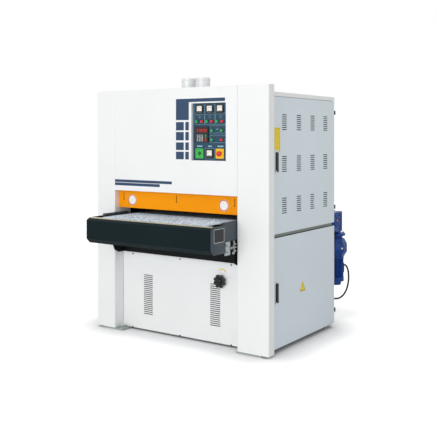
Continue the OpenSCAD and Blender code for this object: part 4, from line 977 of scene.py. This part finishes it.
# The ends take the lighter slate grey: painted light, as the ends are side-lit
for side, x, turn in (("left", COVER_X[0], -1), ("right", COVER_X[1], 1)):
    outline = ((COVER_OUTLINE - COVER_MIDDLE) * [turn, 1])[::-turn]
    cap = relief([x, *COVER_MIDDLE], side, outline, COVER_END)
    piece(f"side_lit_cover_end_{side}", cap, "table", "dark_grey_paint")
label = plate(LABEL_AT, "right", LABEL_W, LABEL_H, LABEL_T, r=0.006, edge=0.0002)
piece("cover_label", label, "table", "black_plastic", ink_black)
label_line = outlined(placed(LABEL_AT, "right", [0, 0, LABEL_T]), "right", LABEL_W - LABEL_MARGIN,
                      LABEL_H - LABEL_MARGIN, LABEL_LINE, LABEL_LINE_T, LABEL_R)
piece("cover_label_line", label_line, "table", "white_paint", sign_white)
strip_ends = (COVER_X[0] + STRIP_END_GAP, COVER_X[1] - STRIP_END_GAP)
strip = loft([[[x, y, z] for y, z in STRIP_OUTLINE] for x in strip_ends])
piece("cover_strip", strip, "table", "machined_steel", strip_metal)

# Belt tension at the infeed: nuts and a threaded rod beside each bright block

TENSION_OUT = 0.010
BLOCK_NUT, ROD_NUT = (0.013, 0.007), (0.017, 0.008)
BLOCK_NUTS = [(-0.697, 0.820), (-0.697, 0.770), (-0.601, 0.820), (-0.601, 0.770)]
ROD_R, ROD_IN, ROD_Z, ROD_Y = 0.0058, 0.005, 0.795, (-0.66, -0.58)
ROD_NUTS = (-0.646, -0.621)


def tension_set(side, x, out):
    """Four nuts that face out, and a rod along Y with two nuts on it."""
    rod_x = x - out * ROD_IN
    rod = [[rod_x, y, ROD_Z] for y in np.linspace(*ROD_Y, 5)]
    return join(*(hex_bolt([x, y, z], side, *BLOCK_NUT) for y, z in BLOCK_NUTS), swept(rod, ROD_R, 20),
                *(hex_bolt([rod_x, y, ROD_Z], "back", *ROD_NUT) for y in ROD_NUTS))


tension_right = tension_set("right", COVER_X[1] + TENSION_OUT, 1)
tension_left = tension_set("left", COVER_X[0] - TENSION_OUT, -1)
piece("tension_hardware", join(tension_right, tension_left), "table", "machined_steel", zinc)

# Anchor bolts in the foot plates

ANCHOR_X, ANCHOR_Y, FOOT_T = 0.610, 0.515, 0.015
ANCHOR_NUT_W, ANCHOR_NUT_H = 0.024, 0.014
ANCHOR_END = [(0.008, 0), (0.008, 0.010), (0.0068, 0.012)]
feet = [(x, y) for x in (-ANCHOR_X, ANCHOR_X) for y in (-ANCHOR_Y, ANCHOR_Y)]
anchors = [hex_bolt([x, y, FOOT_T], "up", ANCHOR_NUT_W, ANCHOR_NUT_H) for x, y in feet]
anchors += [turned([x, y, FOOT_T + ANCHOR_NUT_H], "up", ANCHOR_END, 24) for x, y in feet]
piece("anchor_nuts", join(*anchors), "machine", "machined_steel", zinc)

# Dust spigots: a rolled bead near each mouth

SPIGOT_X = {"left": -0.1755, "right": -0.0255}
SPIGOT_Y = -0.165
BEAD_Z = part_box("dust_duct")[1].z - 0.020
BEAD = [(0.0598, 0), (0.0602, 0.005), (0.0622, 0.0025), (0.0628, 0), (0.0622, -0.0025), (0.0602, -0.005)]
for side, x in SPIGOT_X.items():
    bead = hoop([x, SPIGOT_Y, BEAD_Z], "up", circle(1, 64), BEAD)
    piece(f"spigot_trim_{side}", bead, "machine", "galvanised")

# Screws round the rear panels and along the roof's rear flange

REAR_SCREW = (0.006, 0.003)
REAR_SCREW_PLACES = [(x, z) for x in (-0.76, -0.38, 0, 0.38, 0.76) for z in (0.035, 0.626, 1.190, 1.895)]
rear_screws = [round_screw([x, REAR_FACE, z], "back", *REAR_SCREW) for x, z in REAR_SCREW_PLACES]
piece("rear_panel_screws", join(*rear_screws), "machine", "machined_steel", zinc)

# Feed drive in glossy blue: the roller's axis runs along X, the worm's and the motor's along Z.
# A bolt is given by its width across flats and its height.

DRIVE_X, DRIVE_Y, DRIVE_Z, WORM_Y = 0.614, 0.960, 0.8556, 1.035
WORM = [DRIVE_X, WORM_Y, 0]
DIAGONAL_TURN, OCTAGON_TURN = math.pi / 4, math.pi / 8
MOTOR_BOLT, CASE_BOLT, FLANGE_BOLT = (0.009, 0.006), (0.009, 0.005), (0.014, 0.009)

HALF_CASE = 0.044
CASE_Y, CASE_Z, CASE_W, CASE_H = 0.977, 0.8450, 0.178, 0.162
CASE_FACE = DRIVE_X + HALF_CASE
CASE_RIM = 0.048
LID_Y0, LID_Z = CASE_Y - 0.090, (0.918, 0.932)
SOLE_Y0, SOLE_Z = CASE_Y - 0.060, (0.752, 0.768)
CASE_BACK_Y = CASE_Y + 0.094
RIB_HALF, RIB_HALF_T, RIBS_Y, RIBS_Z = 0.0465, 0.003, (1.016, 1.040, 1.064), (0.766, 0.920)
HUB_X, HUB_PROFILE = 0.5627, [(0.052, 0), (0.052, 0.012)]
COVER_PROFILE = [(0.058, -0.002), (0.058, 0.004), (0.0555, 0.006), (0.036, 0.006), (0.032, 0.009),
                 (0.026, 0.009), (0.024, 0.001)]
COVER_BOLTS, COVER_BOLT_RING, COVER_BOLT_SEAT = 6, 0.049, 0.0055
LID_BOLT_RING, LID_BOLT_Z = 0.036, 0.9315
FLANGE_BOLT_RING, FLANGE_TOP = 0.068, 0.7355
WORM_NECK = [(0.048, FLANGE_TOP), (0.044, 0.739), (0.042, 0.745), (0.048, 0.753)]
WORM_FLANGE = [(0.060, 0.706), (0.080, 0.712), (0.085, 0.7145), (0.085, 0.7320), (0.080, FLANGE_TOP),
               (0.045, 0.7365)]
BORE = [(0.0239, 0), (0.0239, 0.003)]
SHAFT_END = [(0.015, 0), (0.015, 0.0035), (0.0135, 0.005), (0.003, 0.005), (0.0025, 0.003)]


def bolt_ring(at, facing, count, radius, bolt, turn=0.0):
    """Bolts at even angles on a circle round at."""
    return [hex_bolt(placed(at, facing, [*point, 0]), facing, *bolt) for point in circle(radius, count, turn)]


def case_block(half, y0, y1, z0, z1, edge):
    """A block as wide to each side of the drive's middle as half."""
    return block([DRIVE_X - half, y0, z0], [DRIVE_X + half, y1, z1], edge)


def on_drive(depth):
    """The point on the roller's axis that lies depth outside the case's face."""
    return [CASE_FACE + depth, DRIVE_Y, DRIVE_Z]


def gearbox():
    """A rounded case with a bolted lid and cover, ribs at its back, and a flange on the worm's axis."""
    case_at = [DRIVE_X - HALF_CASE, CASE_Y, CASE_Z]
    case = [plate(case_at, "right", CASE_W, CASE_H, 2 * HALF_CASE, r=0.016, edge=0.004),
            case_block(CASE_RIM, LID_Y0, CASE_BACK_Y, *LID_Z, 0.004),
            case_block(CASE_RIM, SOLE_Y0, CASE_BACK_Y, *SOLE_Z, 0.004),
            turned([HUB_X, DRIVE_Y, DRIVE_Z], "right", HUB_PROFILE)]
    case += [case_block(RIB_HALF, y - RIB_HALF_T, y + RIB_HALF_T, *RIBS_Z, 0.001) for y in RIBS_Y]
    case.append(turned(on_drive(0), "right", COVER_PROFILE, 56))
    case += bolt_ring(on_drive(COVER_BOLT_SEAT), "right", COVER_BOLTS, COVER_BOLT_RING, CASE_BOLT)
    case += bolt_ring([DRIVE_X, WORM_Y, LID_BOLT_Z], "up", 4, LID_BOLT_RING, CASE_BOLT, DIAGONAL_TURN)
    case += [turned(WORM, "up", WORM_NECK, 48), turned(WORM, "up", WORM_FLANGE, 64)]
    case += bolt_ring([DRIVE_X, WORM_Y, FLANGE_TOP], "up", 4, FLANGE_BOLT_RING, FLANGE_BOLT, DIAGONAL_TURN)
    return join(*case)


piece("gearbox_casting", gearbox(), "table", "blue_paint", replaces=["worm_gearbox"])
piece("gearbox_bore", turned(on_drive(0.001), "right", BORE), "table", "black_gloss")
piece("gearbox_shaft_end", turned(on_drive(0.004), "right", SHAFT_END), "table", "machined_steel", bronze)

# Speed variator: an eight-sided casting on the worm's axis, flats towards X and Y, ribbed round its waist

CASTING_R = 0.098
CASTING_STEPS = [(0.060, 0.520), (0.071, 0.5215), (0.095, 0.5600), (CASTING_R, 0.5640), (CASTING_R, 0.6440),
                 (0.095, 0.6480), (0.076, 0.6850), (0.070, 0.6880), (0.055, 0.6900)]
CASTING_NECK = [(0.058, 0.6880), (0.058, 0.7060), (0.055, 0.7080)]
WAIST_RIB = [(0.0975, -0.004), (0.1000, -0.0025), (0.1000, 0.0025), (0.0975, 0.004)]
WAIST_RIBS_Z = (0.5710, 0.6370)
FLAT = CASTING_R * math.cos(OCTAGON_TURN)
FLAT_Z, FLAT_BOLTS = 0.6, [(a, b) for a in (-0.030, 0.030) for b in (-0.018, 0.018)]
FLAT_SUNK = 0.0005
PLUG_Z, PLUG_ASIDE = 0.602, 0.024
PLUG = [(0.0085, -0.001), (0.0085, 0.003), (0.0075, 0.004)]


def variator():
    """The casting, its neck, two ribs and four bolts on the flat that faces out."""
    octagon = circle(1, 8, OCTAGON_TURN)
    body = [relief(WORM, "up", octagon, CASTING_STEPS), turned(WORM, "up", CASTING_NECK, 48)]
    body += [relief([DRIVE_X, WORM_Y, z], "up", octagon, WAIST_RIB) for z in WAIST_RIBS_Z]
    flat_at = [DRIVE_X + FLAT - FLAT_SUNK, WORM_Y, FLAT_Z]
    body += [hex_bolt(placed(flat_at, "right", [a, b, 0]), "right", *CASE_BOLT) for a, b in FLAT_BOLTS]
    return join(*body)


piece("variator_casting", variator(), "table", "blue_paint", replaces=["speed_variator"])
# A small matt white plug on the flat towards the right front: its white is a painted highlight, the glint on
# a shiny hub
plug_at = placed([DRIVE_X, WORM_Y, PLUG_Z], "right_front", [PLUG_ASIDE, 0, FLAT])
piece("variator_plug_highlight", turned(plug_at, "right_front", PLUG, 32), "table", "white_paint", dial_white)

# Feed motor: a finned shell between a fan cowl below and an end ring above, with its terminal box and grille

MOTOR_LOW, MOTOR_HIGH, MOTOR_R = 0.261, 0.523, 0.068
FINS = 36
FIN_STEPS = [(0.90, 0.0, 0.334), (0.94, 0.005, 0.335), (1, 0.007, 0.340), (1, 0.007, 0.500),
             (0.94, 0.005, 0.505), (0.90, 0.0, 0.506)]
COWL = [(0.034, MOTOR_LOW), (0.041, MOTOR_LOW), (0.044, 0.264), (0.046, 0.292), (0.064, 0.294),
        (0.071, 0.297), (0.071, 0.334), (0.066, 0.337)]
END_RING = [(0.062, 0.502), (0.070, 0.504), (0.070, MOTOR_HIGH - 0.002), (0.066, MOTOR_HIGH)]
MOTOR_BOLT_RING, MOTOR_BOLT_Z = 0.0645, 0.5045
BOX_X, BOX_Z, BOX_FRONT_Y, BOX_LID_Y, BOX_BACK_Y = 0.619, 0.406, 1.090, 1.116, 1.128
BOX_HALF_W, BOX_HALF_H = 0.032, 0.042
BOX_LID_W, BOX_LID_H = 0.070, 0.090
BOX_SCREW = (0.0035, 0.002)
BOX_SCREW_PLACES = [(BOX_X + a, BOX_Z + b) for a in (-0.027, 0.027) for b in (-0.037, 0.037)]
GRILLE = [(0.033, -0.002), (0.033, 0.0004), (0.004, 0.0004)]


def finned(r, depth, height, n=288):
    """Radius r less depth between the fins, where the wave cos(36 t) is low."""
    t = 2 * np.pi * np.arange(n) / n
    radius = r - depth * np.clip(0.5 - 1.6 * np.cos(FINS * t), 0, 1)
    return raised(np.column_stack([radius * np.cos(t), radius * np.sin(t)]), height)


def motor_shell():
    """The finned shell, the cowl, the end ring and the bolts that hang under it."""
    fins = loft([placed(WORM, "up", finned(MOTOR_R * s, depth, z)) for s, depth, z in FIN_STEPS])
    bolts = bolt_ring([DRIVE_X, WORM_Y, MOTOR_BOLT_Z], "down", 4, MOTOR_BOLT_RING, MOTOR_BOLT, DIAGONAL_TURN)
    return join(fins, turned(WORM, "up", COWL, 56), turned(WORM, "up", END_RING, 56), *bolts)


def terminal_box():
    """A box behind the motor, its lid and the lid's four screws."""
    body = block([BOX_X - BOX_HALF_W, BOX_FRONT_Y, BOX_Z - BOX_HALF_H],
                 [BOX_X + BOX_HALF_W, BOX_LID_Y, BOX_Z + BOX_HALF_H], 0.003)
    lid_t = BOX_BACK_Y - BOX_LID_Y
    lid = plate([BOX_X, BOX_LID_Y, BOX_Z], "back", BOX_LID_W, BOX_LID_H, lid_t, r=0.008, edge=0.003)
    screws = [round_screw([x, BOX_BACK_Y, z], "back", *BOX_SCREW) for x, z in BOX_SCREW_PLACES]
    return join(body, lid, *screws)


piece("motor_shell", motor_shell(), "table", "blue_paint", replaces=["feed_motor"])
# The terminal box is dark navy: painted shade on the motor's blue
piece("terminal_box", terminal_box(), "table", "blue_paint", terminal_box_shade_blue)
piece("fan_grille", turned([DRIVE_X, WORM_Y, MOTOR_LOW], "down", GRILLE, 48), "table", "black_plastic")

# Cable glands at the cable's two ends

GLAND_R = 0.013
GLAND_HEX = [(1.08, -0.022), (1.08, -0.0155), (1.0, -0.0145)]
GLAND_DOME = [(0.8, -0.015), (0.95, -0.0135), (0.95, -0.006), (0.85, -0.002), (0.68, 0.0)]
PANEL_GLAND = [(0.0142, -0.022), (0.0142, -0.012), (0.0136, -0.009), (0.0136, -0.003), (0.0100, 0.0006),
               (0.0083, 0.0006)]
hexagon = relief(CABLE_POINTS[0], "back", circle(GLAND_R, 6), GLAND_HEX)
dome = relief(CABLE_POINTS[0], "back", circle(GLAND_R, 32), GLAND_DOME)
piece("motor_gland", join(hexagon, dome), "table", "black_plastic")
piece("panel_gland", turned(CABLE_POINTS[-1], "back", PANEL_GLAND, 32), "machine", "black_plastic")

# Floor, light and backdrop

FLOOR_HALF = 12
SKY_ON_OBJECT, SKY_SEEN = 0.62, 1.0
FLOOR_GLOW, CONTACT_REACH, CONTACT_POWER = 0.6, 0.35, 3.0

floor_finish = Finish("studio_floor", Base_Color=linear(0xE9E9E9), Roughness=0.9, Emission_Color=(1, 1, 1, 1))
camera_ray = floor_finish.node("ShaderNodeLightPath", {}, {}, "Is Camera Ray")
# Ambient occlusion takes the glow away near the machine: a painted contact shadow on the floor
open_sky = floor_finish.node("ShaderNodeAmbientOcclusion", {"samples": 16}, {"Distance": CONTACT_REACH}, 1)
floor_finish.set("Emission Strength", camera_ray * open_sky.math("POWER", CONTACT_POWER) * FLOOR_GLOW)
floor_corners = np.array([[-1, -1, 0], [1, -1, 0], [1, 1, 0], [-1, 1, 0]], float) * FLOOR_HALF
floor = piece("floor", (floor_corners, [[0, 1, 2, 3]]), None, None, floor_finish.material)

world = bpy.data.worlds.new("studio")
bpy.context.scene.world = world
world.use_nodes = True
tree = world.node_tree
background = tree.nodes["Background"]
background.inputs["Color"].default_value = (1, 1, 1, 1)
light_path = tree.nodes.new("ShaderNodeLightPath")
seen = tree.nodes.new("ShaderNodeMath")
seen.operation = "MAXIMUM"
tree.links.new(light_path.outputs["Is Camera Ray"], seen.inputs[0])
tree.links.new(light_path.outputs["Is Glossy Ray"], seen.inputs[1])
level = tree.nodes.new("ShaderNodeMapRange")
level.inputs["To Min"].default_value = SKY_ON_OBJECT
level.inputs["To Max"].default_value = SKY_SEEN
tree.links.new(seen.outputs[0], level.inputs["Value"])
tree.links.new(level.outputs[0], background.inputs["Strength"])


def lamp(name, at, target, width, power):
    """A square area lamp turned to a target."""
    light = bpy.data.lights.new(name, "AREA")
    light.size, light.energy = width, power
    obj = bpy.data.objects.new(name, light)
    obj.location = at
    obj.rotation_euler = (Vector(target) - Vector(at)).to_track_quat("-Z", "Y").to_euler()
    bpy.context.scene.collection.objects.link(obj)


lamp("key", at=(0.5, -9.0, 1.8), target=(0, -0.5, 0.9), width=4.5, power=326)
lamp("fill", at=(5.5, -1.5, 1.9), target=(0.4, 0, 0.7), width=3.0, power=20)

bpy.context.scene.view_settings.view_transform = "Standard"
